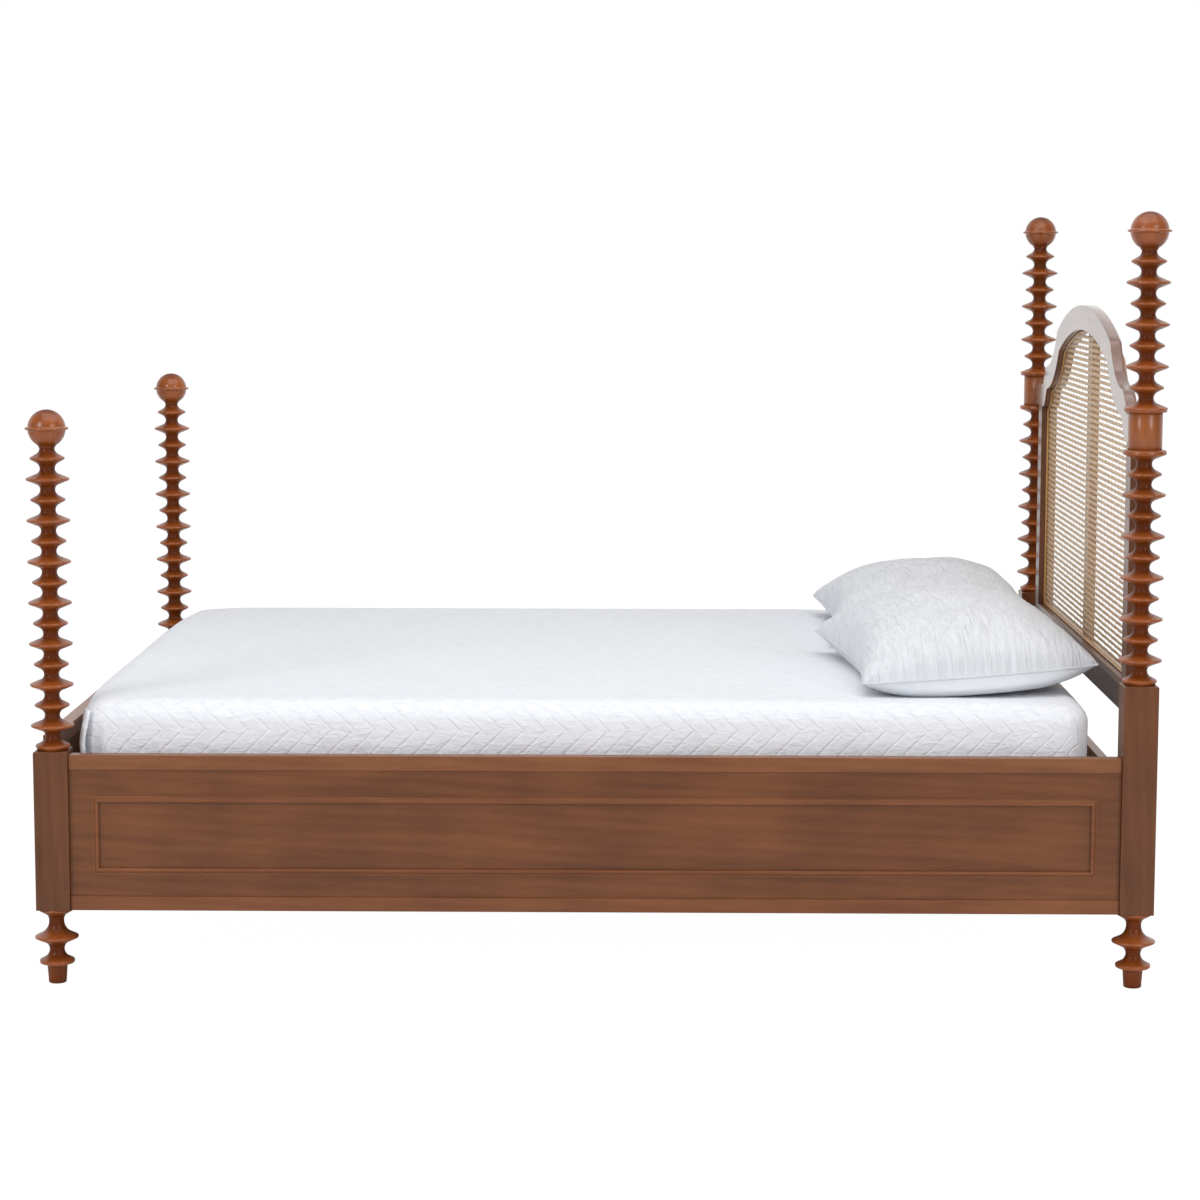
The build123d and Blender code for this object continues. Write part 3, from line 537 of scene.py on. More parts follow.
def reach(origins, directions, inset):
    """How far each ray runs inside the headboard before it comes within inset of its outer edge.

    The ray is stepped outwards first, and the crossing is then halved down to a hair.
    """
    steps = np.linspace(0, 900, 181)
    inside = np.stack([clearance(origins + directions * s) > inset for s in steps])
    first = np.where(inside.all(0), len(steps) - 1, np.argmin(inside, 0))
    low, high = steps[np.maximum(first - 1, 0)], steps[first]
    for _ in range(12):
        mid = (low + high) / 2
        free = clearance(origins + directions * mid[:, None]) > inset
        low, high = np.where(free, mid, low), np.where(free, high, mid)
    return low


# Cane and its bead
# Flat rattan strips laid side by side across the opening, held by thin upright strands that pass
# in front of and behind them. A half-round bead pinned round the opening covers the cut ends.
cane = bpy.data.materials.new("rattan_cane_strips")
cane.use_nodes = True
tree = cane.node_tree
place = add(tree, "TexCoord").outputs["Object"]
split = add(tree, "Mapping", None, {"Vector": place, "Scale": (300.0, 14.0, 700.0)}).outputs[0]
fibre = add(tree, "TexNoise", None, {"Vector": split, "Scale": 1.0, "Detail": 3.0})
knots = add(tree, "TexNoise", None, {"Vector": place, "Scale": 38.0, "Detail": 1.0})
both = add(tree, "Mix", None, {0: 0.35, 2: fibre.outputs[0], 3: knots.outputs[0]})
tone = add(
    tree,
    "ValToRGB",
    None,
    {"Fac": both.outputs[0]},
    [(0.3, linear("#a98561")), (0.52, linear("#c6a57f")), (0.75, linear("#d9bf9c"))],
)
ridges = add(tree, "Bump", None, {"Height": fibre.outputs[0], "Strength": 0.3, "Distance": 0.0003})
wire(
    tree,
    tree.nodes["Principled BSDF"],
    {
        "Base Color": tone.outputs[0],
        "Roughness": 0.5,
        "Normal": ridges.outputs[0],
        "Coat Weight": 0.1,
        "Coat Roughness": 0.3,
    },
)
row_pitch, strip_width, cane_middle = 13.0, 7.4, 1101.8
rows = np.arange(608 + 3.0, 1305, row_pitch)
half_run = reach(np.stack([rows * 0, rows], -1), np.tile([1.0, 0.0], (len(rows), 1)), 46.0)
along = np.linspace(-1, 1, 121)
section = np.array([[0.0, -0.5], [0.55, -0.32], [0.7, 0], [0.55, 0.32], [0, 0.5], [-0.4, 0]])
points, faces = [], []
strand_gap = 45.0
for count, (height, run) in enumerate(zip(rows, half_run)):
    y = along * run
    wave = 0.45 * np.cos(np.pi * y / strand_gap + np.pi * count)
    x = cane_middle - section[None, :, 0] + wave[:, None]
    z = height + section[None, :, 1] * strip_width + 0 * x
    strip = np.stack([x, np.repeat(y[:, None], 6, 1), z], -1).reshape(-1, 3)
    shift = len(points) * len(strip)
    points.append(strip)
    faces += grid_faces(len(y), 6, 1, shift)
    faces += [[shift + i for i in (5, 4, 3, 2, 1, 0)]]
    faces += [[shift + len(strip) - 6 + i for i in range(6)]]
strips = put_mesh("cane_strips", np.concatenate(points), faces, cane, slot="cane")
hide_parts("cane_panel")
uprights = np.arange(-640 + strand_gap / 2, 640, strand_gap)
top = reach(np.stack([uprights, uprights * 0 + 900], -1), np.tile([0.0, 1.0], (len(uprights), 1)), 46.0)
points, faces = [], []
corner = np.array([[0.25, 0.0], [0, 0.8], [-0.25, 0.0], [0, -0.8]])
for count, (across, rise) in enumerate(zip(uprights, top)):
    z = np.linspace(600, 900 + rise, 150)
    wave = 0.9 * np.cos(np.pi * (z - 611) / row_pitch + np.pi * count)
    x = cane_middle + wave[:, None] + corner[None, :, 0]
    y = across + corner[None, :, 1] + 0 * x
    strand = np.stack([x, y, np.repeat(z[:, None], 4, 1)], -1).reshape(-1, 3)
    shift = len(points) * len(strand)
    points.append(strand)
    faces += grid_faces(len(z), 4, 1, shift)
    faces += [[shift + i for i in (3, 2, 1, 0)], [shift + len(strand) - 4 + i for i in range(4)]]
strands = put_mesh("cane_strands", np.concatenate(points), faces, cane, slot="cane")

bead_stain = stained_wood("rattan_bead_honey", "Z", "#9c6f3c", "#c99a5e")
corner_ways = [np.arctan2(608.0 - 900, y) for y in (-640.0, 640.0)]
corner_ways += [np.arctan2(1098.0 - 900, y) for y in (-640.0, -630.0, 630.0, 640.0)]
ways = np.unique(np.concatenate([np.linspace(-np.pi, np.pi, 480, endpoint=False), corner_ways]))
rays = np.stack([np.cos(ways), np.sin(ways)], -1)
spot = np.tile([0.0, 900.0], (len(ways), 1))
opening = spot + rays * reach(spot, rays, 55.0)[:, None]
inner = spot + rays * reach(spot, rays, 60.0)[:, None]
round_over = np.radians(np.linspace(0, 180, 7))
across = (1 - np.cos(round_over)) / 2
proud = 1100.8 - 4.5 * np.sin(round_over)
ring_points = opening[:, None] * (1 - across[None, :, None]) + inner[:, None] * across[None, :, None]
x = np.repeat(proud[None], len(ways), 0)[..., None]
bead_points = np.concatenate([x, ring_points], -1)
faces = np.array(grid_faces(len(ways) + 1, 7, 1)) % (7 * len(ways))
bead = put_mesh("cane_edge_bead", bead_points.reshape(-1, 3), faces.tolist(), bead_stain, slot="cane")
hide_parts("cane_bead")

# Stops and middle slat behind the cane
# Plain planed strips that press the cane into its rebate, and a flat slat that props its middle.
# They are pale unstained wood, seen only through the cane.
plain = stained_wood("rubberwood_planed_plain_upright", "Z", "#8d6c4c", "#b39270", 0.9)
plain_across = stained_wood("rubberwood_planed_plain_across", "Y", "#8d6c4c", "#b39270", 0.9)
plain_long = stained_wood("rubberwood_planed_plain_long", "X", "#a98a66", "#cfb28b", 0.9)
dress("cane_crown_stop", plain_across)
ease("cane_side_stops", 0.8, plain)
ease("cane_sill_stop", 0.8, plain_across)
ease("headboard_centre_slat", 0.8, plain)

# Slats, ledgers, beam and legs
# Sawn and planed softwood, left without stain, with rounded arrises. Webbing tapes space the slats.
# The tapes are woven polyester: a fine twill of threads about 1 mm wide.
for node in ("near_slat_ledger", "far_slat_ledger", "centre_beam"):
    ease(node, 1.5, plain_long)
ease("slats", 2.0, plain_across)
ease("beam_hangers", 1.0, plain_across)
ease("support_legs", 2.0, plain)
webbing = bpy.data.materials.new("polyester_webbing_twill")
webbing.use_nodes = True
tree = webbing.node_tree
place = add(tree, "TexCoord").outputs["Object"]
turned_way = add(tree, "Mapping", None, {"Vector": place, "Rotation": (0, 0, np.pi / 4)}).outputs[0]
twill = add(tree, "TexWave", None, {"Vector": turned_way, "Scale": 160.0, "Distortion": 0.6})
tone = add(
    tree,
    "ValToRGB",
    None,
    {"Fac": twill.outputs["Fac"]},
    [(0.2, linear("#c9c4b6")), (0.8, linear("#e4e0d4"))],
)
raised = add(tree, "Bump", None, {"Height": twill.outputs["Fac"], "Strength": 0.4, "Distance": 0.0004})
wire(
    tree,
    tree.nodes["Principled BSDF"],
    {"Base Color": tone.outputs[0], "Roughness": 0.85, "Normal": raised.outputs[0]},
)
dress("slat_tapes", webbing)
plastic = bpy.data.materials.new("polyethylene_glide_moulded")
plastic.use_nodes = True
tree = plastic.node_tree
place = add(tree, "TexCoord").outputs["Object"]
grit = add(tree, "TexNoise", None, {"Vector": place, "Scale": 600.0, "Detail": 2.0})
tone = add(
    tree,
    "ValToRGB",
    None,
    {"Fac": grit.outputs[0]},
    [(0.3, linear("#2b2a29")), (0.7, linear("#3a3937"))],
)
matt = add(tree, "MapRange", None, {"Value": grit.outputs[0], "To Min": 0.45, "To Max": 0.6})
wire(
    tree,
    tree.nodes["Principled BSDF"],
    {"Base Color": tone.outputs[0], "Roughness": matt.outputs[0], "IOR": 1.5},
)
ease("leg_glides", 1.0, plastic)

# Mattress
# A sprung mattress in woven ticking, with a corded seam round its top and bottom edges.
# Only its sides show, between the coverlet's hem and the rails.


def rounded_loop(half_long, half_wide, radius, count):
    """Points round a rectangle with rounded corners, and the outward direction at each.

    The points are spread evenly by length: four straight runs and four quarter turns.
    """
    straight = 2 * (half_long + half_wide) * 2 - 8 * radius
    total = straight + 2 * np.pi * radius
    place = np.linspace(0, total, count, endpoint=False)
    runs = [2 * (half_wide - radius), 2 * (half_long - radius)] * 2
    turn = np.pi * radius / 2
    marks = np.cumsum([0] + [v for run in runs for v in (run, turn)])
    centres = [(half_long - radius, -(half_wide - radius)), (half_long - radius, half_wide - radius)]
    centres += [(-(half_long - radius), half_wide - radius), (-(half_long - radius), -(half_wide - radius))]
    points, normals = np.zeros((count, 2)), np.zeros((count, 2))
    for side in range(4):
        out = np.array([[1, 0], [0, 1], [-1, 0], [0, -1]][side], float)
        way = np.array([-out[1], out[0]])
        begin = np.array(centres[side]) + out * radius
        here = (place >= marks[2 * side]) & (place < marks[2 * side + 1])
        points[here] = begin + way * (place[here] - marks[2 * side])[:, None]
        normals[here] = out
        bend = (place >= marks[2 * side + 1]) & (place < marks[2 * side + 2])
        angle = (place[bend] - marks[2 * side + 1]) / radius
        facing = out * np.cos(angle)[:, None] + way * np.sin(angle)[:, None]
        points[bend] = np.array(centres[(side + 1) % 4]) + facing * radius
        normals[bend] = facing
    return points, normals


bed_middle = -20.5
ticking = bpy.data.materials.new("cotton_ticking_woven")
ticking.use_nodes = True
tree = ticking.node_tree
place = add(tree, "TexCoord").outputs["Object"]
weave = add(tree, "TexVoronoi", None, {"Vector": place, "Scale": 260.0})
tone = add(
    tree,
    "ValToRGB",
    None,
    {"Fac": weave.outputs["Distance"]},
    [(0.0, linear("#e9e7e1")), (0.8, linear("#d8d5cc"))],
)
raised = add(tree, "Bump", None, {"Height": weave.outputs["Distance"], "Strength": 0.3, "Distance": 0.0005})
wire(
    tree,
    tree.nodes["Principled BSDF"],
    {"Base Color": tone.outputs[0], "Roughness": 0.9, "Normal": raised.outputs[0], "Sheen Weight": 0.2},
)


def pressed(plan):
    """Say how deep the pillows press each place: a flat-bottomed bell under each of the two."""
    x, y = plan[..., 0], plan[..., 1]
    return 8 * np.exp(-(((x - 790) / 215) ** 6) - ((np.abs(y) - 345) / 400) ** 6)


loop, facing = rounded_loop(1016, 762, 60, 240)
level = np.linspace(-1, 1, 13)
inset = np.concatenate([[18, 6, 2], 4 * level[1:-1] ** 4, [5, 13, 27, 50]])
height = np.concatenate([[325.3, 326.5, 331], 432 + 101 * level[1:-1], [540, 553, 562, 567.5]])
wall = loop[None] - facing[None] * inset[:, None, None]
share = np.linspace(0, 1, 26)[1:-1]
top = wall[-1][None] * (1 - share[:, None, None])
plan = np.concatenate([wall, top])
height = np.concatenate([np.repeat(height[:, None], len(loop), 1), 569.3 - pressed(top)])
sides = np.concatenate([plan, height[..., None]], -1).reshape(-1, 3)
points = np.concatenate([sides, [[0, 0, 325.3], [0, 0, 569.3]]]) + [bed_middle, 0, 0]
step = np.arange(len(loop))
after = (step + 1) % len(loop)
last = (len(plan) - 1) * len(loop)
faces = grid_faces(len(plan), len(loop), 1)
faces += np.stack([np.full(len(loop), len(sides)), after, step], -1).tolist()
faces += np.stack([np.full(len(loop), len(sides) + 1), last + step, last + after], -1).tolist()
mattress = put_mesh("mattress_cover", points, faces, ticking, "bedding", "ticking")
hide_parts("mattress")

# Coverlet
# Two cotton cloths with a thin wadding, quilted with zigzag seams 43 mm apart and washed, which
# leaves the cloth crinkled. It lies over the mattress and hangs down its sides behind the rails.


def quilted_cotton(name, seam_run, puffed, crinkle, crease_size, shade, cloth):
    """White quilted cotton that reads the piece's own UV map in metres.

    A seam runs where (u - triangle wave of v) / run is whole, so the seams zigzag up the cloth, and
    each is a narrow groove. Crinkles are noise drawn out to the crease's width and height.
    """
    made = bpy.data.materials.new(name)
    made.use_nodes = True
    tree = made.node_tree
    flat = add(tree, "UVMap", {"uv_map": "cloth"}).outputs[0]
    parts = add(tree, "SeparateXYZ", None, {0: flat})
    wander = add(tree, "TexNoise", None, {"Vector": flat, "Scale": 9.0, "Detail": 1.0})
    u = add(tree, "Math", {"operation": "MULTIPLY_ADD"}, {0: wander.outputs[0], 1: 0.012, 2: parts.outputs[0]})
    v = add(tree, "Math", {"operation": "ADD"}, {0: parts.outputs[1], 1: 0.8815})
    zigzag = add(tree, "Math", {"operation": "PINGPONG"}, {0: v.outputs[0], 1: 0.055})
    rising = add(tree, "Math", {"operation": "SUBTRACT"}, {0: u.outputs[0], 1: zigzag.outputs[0]})
    scaled = add(tree, "Math", {"operation": "DIVIDE"}, {0: rising.outputs[0], 1: seam_run})
    part = add(tree, "Math", {"operation": "PINGPONG"}, {0: scaled.outputs[0], 1: 0.5})
    puff = add(
        tree,
        "MapRange",
        {"interpolation_type": "SMOOTHSTEP"},
        {"Value": part.outputs[0], "From Min": 0.0, "From Max": 0.13, "To Max": puffed},
    )
    creased = [1000 / size for size in crease_size] + [1.0]
    pulled = add(tree, "Mapping", None, {"Vector": flat, "Scale": creased}).outputs[0]
    creases = add(
        tree,
        "TexNoise",
        None,
        {"Vector": pulled, "Scale": 1.0, "Detail": 4.0, "Roughness": 0.6, "Distortion": 0.8},
    )
    rumples = add(
        tree,
        "TexNoise",
        None,
        {"Vector": flat, "Scale": 22.0, "Detail": 3.0, "Distortion": 0.5},
    )
    height = add(
        tree,
        "Math",
        {"operation": "MULTIPLY_ADD"},
        {0: creases.outputs[0], 1: crinkle, 2: puff.outputs[0]},
    )
    soft = add(
        tree,
        "Math",
        {"operation": "MULTIPLY_ADD"},
        {0: rumples.outputs[0], 1: 1.6, 2: height.outputs[0]},
    )
    relief = add(tree, "Bump", None, {"Height": soft.outputs[0], "Strength": 1.0, "Distance": 0.0022})
    # The crease noise also tints the cloth from the shade colour to the cloth colour: painted shade in the
    # creases.
    tone = add(
        tree,
        "ValToRGB",
        None,
        {"Fac": creases.outputs[0]},
        [(0.35, linear(shade)), (0.6, linear(cloth))],
    )
    wire(
        tree,
        tree.nodes["Principled BSDF"],
        {
            "Base Color": tone.outputs[0],
            "Roughness": 0.88,
            "Normal": relief.outputs[0],
            "Sheen Weight": 0.1,
            "Sheen Roughness": 0.5,
        },
    )
    return made


def map_cloth(made, flat):
    """Give a mesh a UV map called cloth, from one pair of metres for each of its points."""
    corners = np.zeros(len(made.data.loops), np.int32)
    made.data.loops.foreach_get("vertex_index", corners)
    layer = made.data.uv_layers.new(name="cloth")
    layer.data.foreach_set("uv", np.asarray(flat)[corners].astype(np.float32).ravel())


quilt = quilted_cotton("cotton_coverlet_quilted", 0.043, 0.45, 1.2, (24, 9), "#e4e6ec", "#ebedf2")
half_long, half_wide, hem, crest, bend = 1023.5, 786.0, 425.0, 578.3, 42.0
loop, facing = rounded_loop(half_long, half_wide, 60, 620)
turn = np.radians(np.linspace(0, 90, 8))
drop = crest - bend - hem
side_rows = [(0.0, h, d) for h, d in zip(np.linspace(hem, crest - bend, 12), np.linspace(drop, 0, 12))]
bend_rows = [(bend * (1 - np.cos(a)), crest - bend + bend * np.sin(a), -bend * a) for a in turn[1:]]
rows = np.array(side_rows + bend_rows)
shell = loop[None] - facing[None] * rows[:, :1, None]
rim = shell[-1]
share = np.linspace(0, 1, 40)[1:-1]
top = rim[None] * (1 - share[:, None, None])
plan = np.concatenate([shell, top])
height = np.concatenate([np.repeat(rows[:, 1:2], len(loop), 1), np.full((len(top), len(loop)), crest)])
flat_side = rim[None] + facing[None] * (rows[:, 2] + bend * np.pi / 2)[:, None, None]
flat = np.concatenate([flat_side, top])
x, y = plan[..., 0], plan[..., 1]
rolls = np.sin(x / 97 + 2 * np.sin(y / 210)) * np.sin(y / 143 + 1.3) + 0.6 * np.sin(x / 41 + y / 67)
inner_share = np.concatenate([np.zeros(len(rows)), np.minimum(share * 8, 1)])[:, None]
height = height + inner_share * (1.1 * rolls - 1.4)
tucked = np.exp(-(((np.abs(x) - half_long) / 90) ** 2)) * np.exp(-(((np.abs(y) - half_wide) / 110) ** 2))
above = np.clip((height - hem) / (crest - hem), 0, 1) ** 3
height = height - above * (7 * tucked + pressed(plan))
outward = np.concatenate([np.repeat(facing[None], len(rows), 0), np.zeros_like(top)])
low_share = np.concatenate([np.clip(rows[:, 2] / drop, 0, 1), np.zeros(len(top))])[:, None]
ripple = 2.2 * np.sin(x / 55 + y / 71) + 1.3 * np.sin(x / 23 - y / 31)
fold = np.exp(-(((x + half_long - 34) / 7) ** 2)) * (y < 0)
push = low_share * (ripple - 2.5) - 16 * fold * np.clip(low_share * 1.6, 0, 1)
plan = plan + outward * push[..., None]
bulge = 20 * np.exp(-((y / 640) ** 8)) * np.exp(-(((height - 548) / 45) ** 2))
plan[..., 0] -= bulge * np.clip((-x - half_long + 160) / 160, 0, 1)
points = np.concatenate([plan, height[..., None]], -1).reshape(-1, 3)
points = np.concatenate([points, [[0, 0, crest - 1.4]]]) + [bed_middle, 0, 0]
flat = np.concatenate([flat.reshape(-1, 2), [[0, 0]]]) / 1000
faces = grid_faces(len(plan), len(loop), 1)
last = (len(plan) - 1) * len(loop)
step = np.arange(len(loop))
after = (step + 1) % len(loop)
faces += np.stack([np.full(len(loop), len(points) - 1), last + step, last + after], -1).tolist()
coverlet = put_mesh("coverlet_quilt", points, faces, quilt, "bedding", "quilting")
map_cloth(coverlet, flat)
thick = coverlet.modifiers.new("wadding", "SOLIDIFY")
thick.thickness = 0.005
thick.offset = -1
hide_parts("coverlet")
t = np.linspace(0, 1, 13)
levels = np.linspace(0, 1, 15)
lean_in = 10 * levels**3
flap_x = np.where(t < 0.6, -1047.5, -1047.5 + 13 * ((t - 0.6) / 0.4) ** 2)
flap_y = -690 - 104 * t + 3 * ((t > 0.9) * (t - 0.9) / 0.1)
inner_x, inner_y = flap_x + 5.5 - 1.0 * t, flap_y + 2.5
around_x = np.concatenate([flap_x, inner_x[::-1]])
around_y = np.concatenate([flap_y, inner_y[::-1]])
sway = 1.5 * np.sin(levels * 9)[:, None]
flap = np.stack(
    [
        around_x[None] + lean_in[:, None] + sway,
        around_y[None] + 0.7 * lean_in[:, None] - 0.4 * sway,
        np.repeat(428 + 128 * levels[:, None], 26, 1),
    ],
    -1,
).reshape(-1, 3)
flap_faces = grid_faces(15, 26, 1)
flap_faces += [list(range(25, -1, -1)), list(range(14 * 26, 15 * 26))]
corner_flap = put_mesh("coverlet_corner_flap", flap, flap_faces, quilt, "bedding", "quilting")
map_cloth(corner_flap, flap[:, [1, 2]] / 1000)

# Pillows
# Feather pillows in quilted cotton slips: a quilted upper cloth, a plain lower cloth and a corded
# seam between them. The corners are pointed and the sides draw in where the filling pulls.
plain_cotton = bpy.data.materials.new("cotton_percale_plain")
plain_cotton.use_nodes = True
tree = plain_cotton.node_tree
place = add(tree, "TexCoord").outputs["Object"]
soft = add(tree, "TexNoise", None, {"Vector": place, "Scale": 14.0, "Detail": 3.0, "Distortion": 0.7})
tone = add(
    tree,
    "ValToRGB",
    None,
    {"Fac": soft.outputs[0]},
    [(0.3, linear("#cdd1d7")), (0.7, linear("#d5d8dc"))],
)
raised = add(tree, "Bump", None, {"Height": soft.outputs[0], "Strength": 0.5, "Distance": 0.004})
wire(
    tree,
    tree.nodes["Principled BSDF"],
    {"Base Color": tone.outputs[0], "Roughness": 0.85, "Normal": raised.outputs[0], "Sheen Weight": 0.1},
)
slip = quilted_cotton("cotton_pillow_slip_quilted", 0.05, 0.15, 2.6, (9, 34), "#d6d8dd", "#dfe1e6")


def pillow(name, node, body, side, turn, seed, place, crest, raised_corner):
    """A crowned cushion: height above the seam is crest x ((1 - u^2)(1 - v^2))^p over its plan.

    The plan's sides draw in by a parabola between pointed corners. Creases are sums of sines that
    fade at the seam. The lower half swells past the seam and is flat where it rests.
    """
    count = 121
    u, v = np.meshgrid(np.linspace(-1, 1, count), np.linspace(-1, 1, count), indexing="ij")
    u, v = np.sin(u * np.pi / 2) * 0.4 + u * 0.6, np.sin(v * np.pi / 2) * 0.4 + v * 0.6
    blunt = 1 - 0.02 * (np.abs(u * v) ** 12)
    x = 249 * u * blunt * (1 - 0.15 * (1 - v**2) * u**2)
    y = 330 * v * blunt * (1 - 0.05 * (1 - u**2) * v**2)
    bowl = np.clip((1 - u**2) * (1 - v**2), 0, 1)
    rng = np.random.default_rng(seed)
    crease = np.zeros_like(u)
    for _ in range(16):
        angle, size, phase = rng.uniform(0, np.pi), rng.uniform(11, 30), rng.uniform(0, 6.3)
        crease += np.sin((x * np.cos(angle) + y * np.sin(angle)) / size + phase) / 16
    near_seam = np.minimum(bowl * 5, 1)
    pull = np.sin((x + 0.25 * y * u) / 6) * np.exp(-(((np.abs(v) - 0.82) / 0.14) ** 2)) * near_seam
    crown = crest * bowl**0.42 + crease * 9 * near_seam + 1.1 * pull
    full = np.clip(3.2 * bowl, 0, 1)
    belly = -44 * full**0.55 + crease * 3 * near_seam * (1 - full)
    swell = np.sin(np.pi * np.clip(1.5 * bowl, 0, 1)) ** 0.8
    sag = -7 * (1 - np.abs(u * v) ** 2) * (1 - near_seam)
    lifted = raised_corner * ((1 - u) / 2) ** 2 * ((1 + v) / 2) ** 2
    upper = np.stack([x, y, crown + sag + lifted], -1)
    lower = np.stack([x + 12 * u * (u > 0) * swell, y + 62 * v * swell, belly + sag + lifted * (1 - full)], -1)
    tilt, spin = np.radians(4.0), np.radians(turn)
    lean = np.array([[np.cos(tilt), 0, -np.sin(tilt)], [0, 1, 0], [np.sin(tilt), 0, np.cos(tilt)]])
    swing = np.array([[np.cos(spin), -np.sin(spin), 0], [np.sin(spin), np.cos(spin), 0], [0, 0, 1]])
    both = np.concatenate([upper.reshape(-1, 3), lower.reshape(-1, 3)]) @ lean.T
    rest = 569.6
    both[:, 2] += rest - np.percentile(both[count * count :, 2], 12)
    both[:, 2] = np.maximum(both[:, 2], rest + 0.02 * (both[:, 2] - rest))
    both = both @ swing.T + [place, side * 345.0, 0]
    faces = np.array(grid_faces(count, count, 0))[:, ::-1].tolist()
    faces += grid_faces(count, count, 0, count * count)
    made = put_mesh(name, both, faces, slip, body, "quilting")
    made.data.materials.append(plain_cotton)
    half = len(faces) // 2
    made.data.polygons.foreach_set("material_index", np.repeat([0, 1], half).astype(np.int32))
    flat = np.stack([x, y], -1).reshape(-1, 2) / 1000
    map_cloth(made, np.concatenate([flat, flat]))
    seam = made.modifiers.new("seam", "WELD")
    seam.merge_threshold = 0.0001
    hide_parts(node)
    ridge = [np.arange(count) * count, (count - 1) * count + np.arange(count)]
    ridge += [np.arange(count)[::-1] * count + count - 1, np.arange(count)[::-1]]
    path = both[np.concatenate([part[:-1] for part in ridge])]
    forward = np.roll(path, -1, 0) - np.roll(path, 1, 0)
    forward /= np.linalg.norm(forward, axis=1)[:, None]
    outward = np.cross(forward, [0, 0, 1.0])
    upward = np.cross(outward, forward)
    angle = np.linspace(0, 2 * np.pi, 8, endpoint=False)
    tube = path[:, None] + 2.6 * (
        np.cos(angle)[None, :, None] * outward[:, None] + np.sin(angle)[None, :, None] * upward[:, None]
    )
    cord_faces = np.array(grid_faces(len(path) + 1, 8, 1))[:, ::-1] % (8 * len(path))
    cord = (tube.reshape(-1, 3), cord_faces.tolist(), plain_cotton, body, "quilting")
    piping = put_mesh(f"{name}_piping", *cord)
    return made, piping


pillow("near_pillow_slip", "near_pillow", "pillow_near", -1, 5.0, 3, 763.0, 138.0, 24.0)
pillow("far_pillow_slip", "far_pillow", "pillow_far", 1, 0.0, 8, 772.0, 124.0, 20.0)

# Floor, light and camera
# A white studio floor that keeps a soft shadow, a white surround, and large soft lamps.
# The camera stands at the height of the head posts' tops and looks slightly down.
floor_mesh = bpy.data.meshes.new("studio_floor")
floor_mesh.from_pydata([(-40, -40, 0), (40, -40, 0), (40, 40, 0), (-40, 40, 0)], [], [(0, 1, 2, 3)])
floor = bpy.data.objects.new("studio_floor", floor_mesh)
bpy.context.scene.collection.objects.link(floor)
paper = bpy.data.materials.new("white_floor_paint")
paper.use_nodes = True
tree = paper.node_tree
tree.nodes.remove(tree.nodes["Principled BSDF"])
seen = add(tree, "LightPath")
toward = add(tree, "SeparateXYZ", None, {0: add(tree, "TexCoord").outputs["Object"]})
behind = add(tree, "MapRange", None, {"Value": toward.outputs[1], "From Min": 0.8, "From Max": 2.5})
mirrored = add(
    tree,
    "Math",
    {"operation": "MULTIPLY"},
    {0: seen.outputs["Is Glossy Ray"], 1: behind.outputs[0]},
)
eye_or_gloss = add(
    tree,
    "Math",
    {"operation": "MAXIMUM"},
    {0: seen.outputs["Is Camera Ray"], 1: mirrored.outputs[0]},
)
bright = add(tree, "Math", {"operation": "MULTIPLY"}, {0: eye_or_gloss.outputs[0], 1: 0.9})
paint = add(tree, "BsdfDiffuse", None, {"Color": linear("#f2f2f2")})
glow = add(tree, "Emission", None, {"Color": (1, 1, 1, 1), "Strength": 1.1})
mixed = add(tree, "MixShader", None, {0: bright.outputs[0], 1: paint.outputs[0], 2: glow.outputs[0]})
tree.links.new(mixed.outputs[0], tree.nodes["Material Output"].inputs["Surface"])
floor_mesh.materials.append(paper)

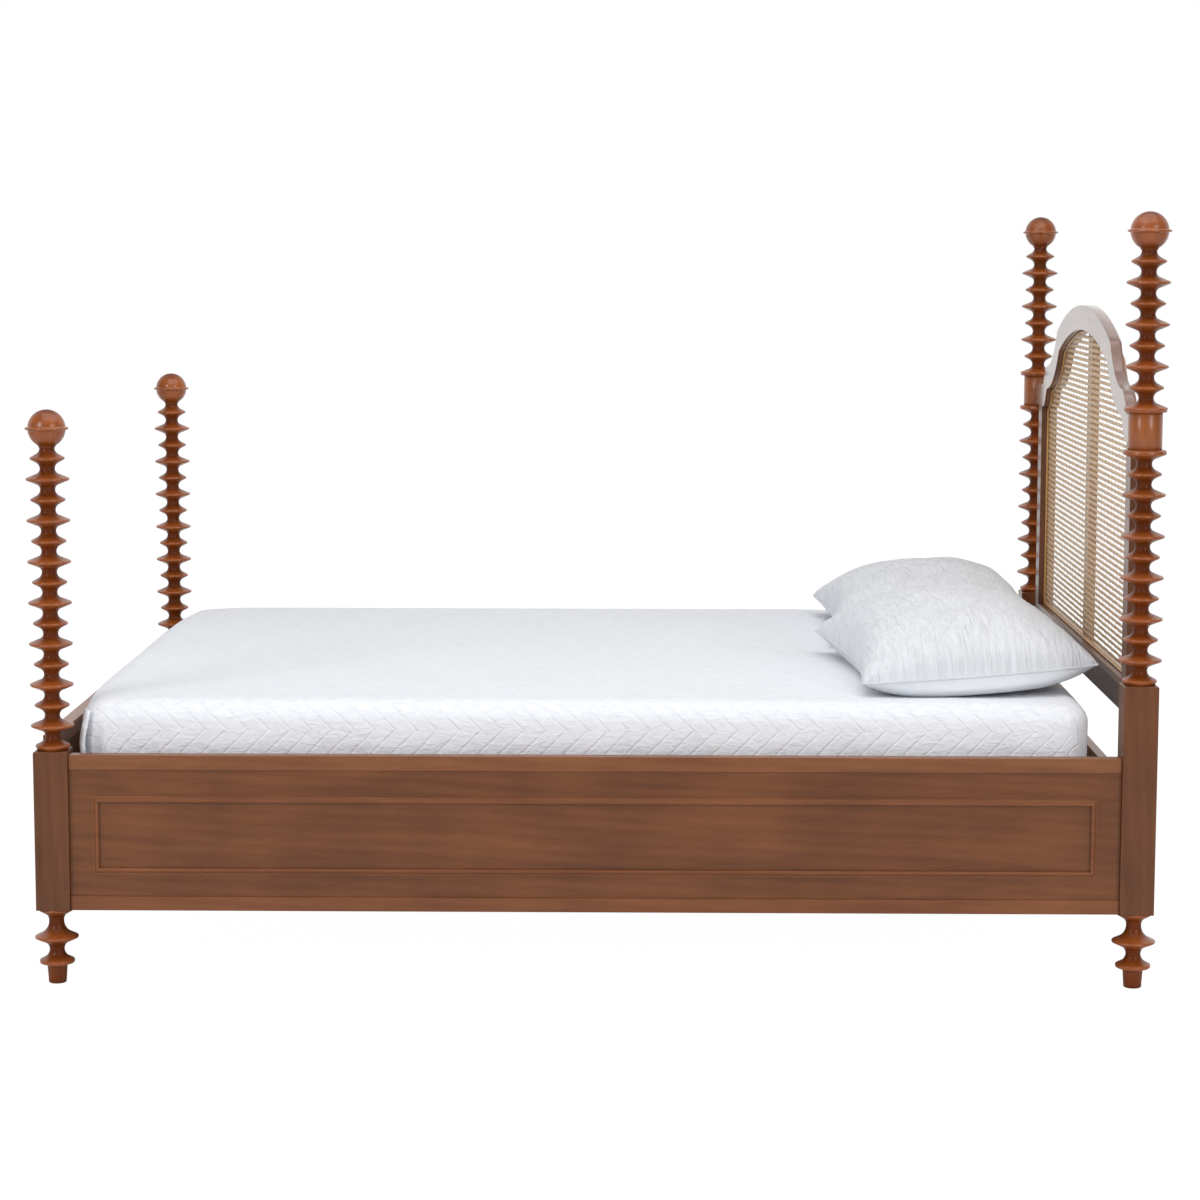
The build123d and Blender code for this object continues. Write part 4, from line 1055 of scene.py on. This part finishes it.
world = bpy.data.worlds.new("white_surround")
bpy.context.scene.world = world
world.use_nodes = True
tree = world.node_tree
seen = add(tree, "LightPath")
toward = add(tree, "SeparateXYZ", None, {0: add(tree, "TexCoord").outputs["Generated"]})
ahead = add(
    tree,
    "MapRange",
    {"interpolation_type": "SMOOTHSTEP"},
    {"Value": toward.outputs[1], "From Min": -0.2, "From Max": 0.5, "To Min": 0.15, "To Max": 1.0},
)
mirrored = add(
    tree,
    "Mix",
    None,
    {0: seen.outputs["Is Glossy Ray"], 2: 0.42, 3: ahead.outputs[0]},
)
straight = add(
    tree,
    "Math",
    {"operation": "MAXIMUM"},
    {0: seen.outputs["Is Camera Ray"], 1: seen.outputs["Is Transmission Ray"]},
)
level = add(tree, "Mix", None, {0: straight.outputs[0], 2: mirrored.outputs[0], 3: 1.0})
wire(
    tree,
    tree.nodes["Background"],
    {"Color": (1, 1, 1, 1), "Strength": level.outputs[0]},
)


def softbox(name, place, wide, tall, power):
    """A large rectangular lamp at a place."""
    lamp = bpy.data.lights.new(name, "AREA")
    lamp.shape = "RECTANGLE"
    lamp.size, lamp.size_y, lamp.energy = wide, tall, power
    made = bpy.data.objects.new(name, lamp)
    bpy.context.scene.collection.objects.link(made)
    made.location = place
    return made


def turn_to(made, aim):
    """Turn a lamp so that its -Z axis points at the aim."""
    way = np.asarray(aim, float) - np.asarray(made.location, float)
    flat_run = np.hypot(way[0], way[1])
    made.rotation_euler = (np.arctan2(flat_run, -way[2]), 0, np.arctan2(way[1], way[0]) - np.pi / 2)


for name, place, aim, wide, tall, power in (
    ("top_softbox", (0.2, -1.0, 4.2), (0, 0, 0.5), 4.5, 3.5, 95),
    ("left_softbox", (-3.6, -4.6, 2.9), (-0.3, 0, 0.6), 1.6, 2.4, 90),
    ("right_softbox", (3.4, -4.8, 2.7), (0.4, 0, 0.7), 1.6, 2.4, 75),
):
    turn_to(softbox(name, place, wide, tall, power), aim)

camera = bpy.data.cameras.new("studio_camera")
camera.lens, camera.sensor_width = 89.2401, 36.0
eye = bpy.data.objects.new("studio_camera", camera)
bpy.context.scene.collection.objects.link(eye)
eye.location = (0.0842, -6.7171, 1.5059)
eye.rotation_euler = np.radians((83.08125938, -0.09082157, 0.71706223))
bpy.context.scene.camera = eye
bpy.context.scene.view_settings.view_transform = "Standard"
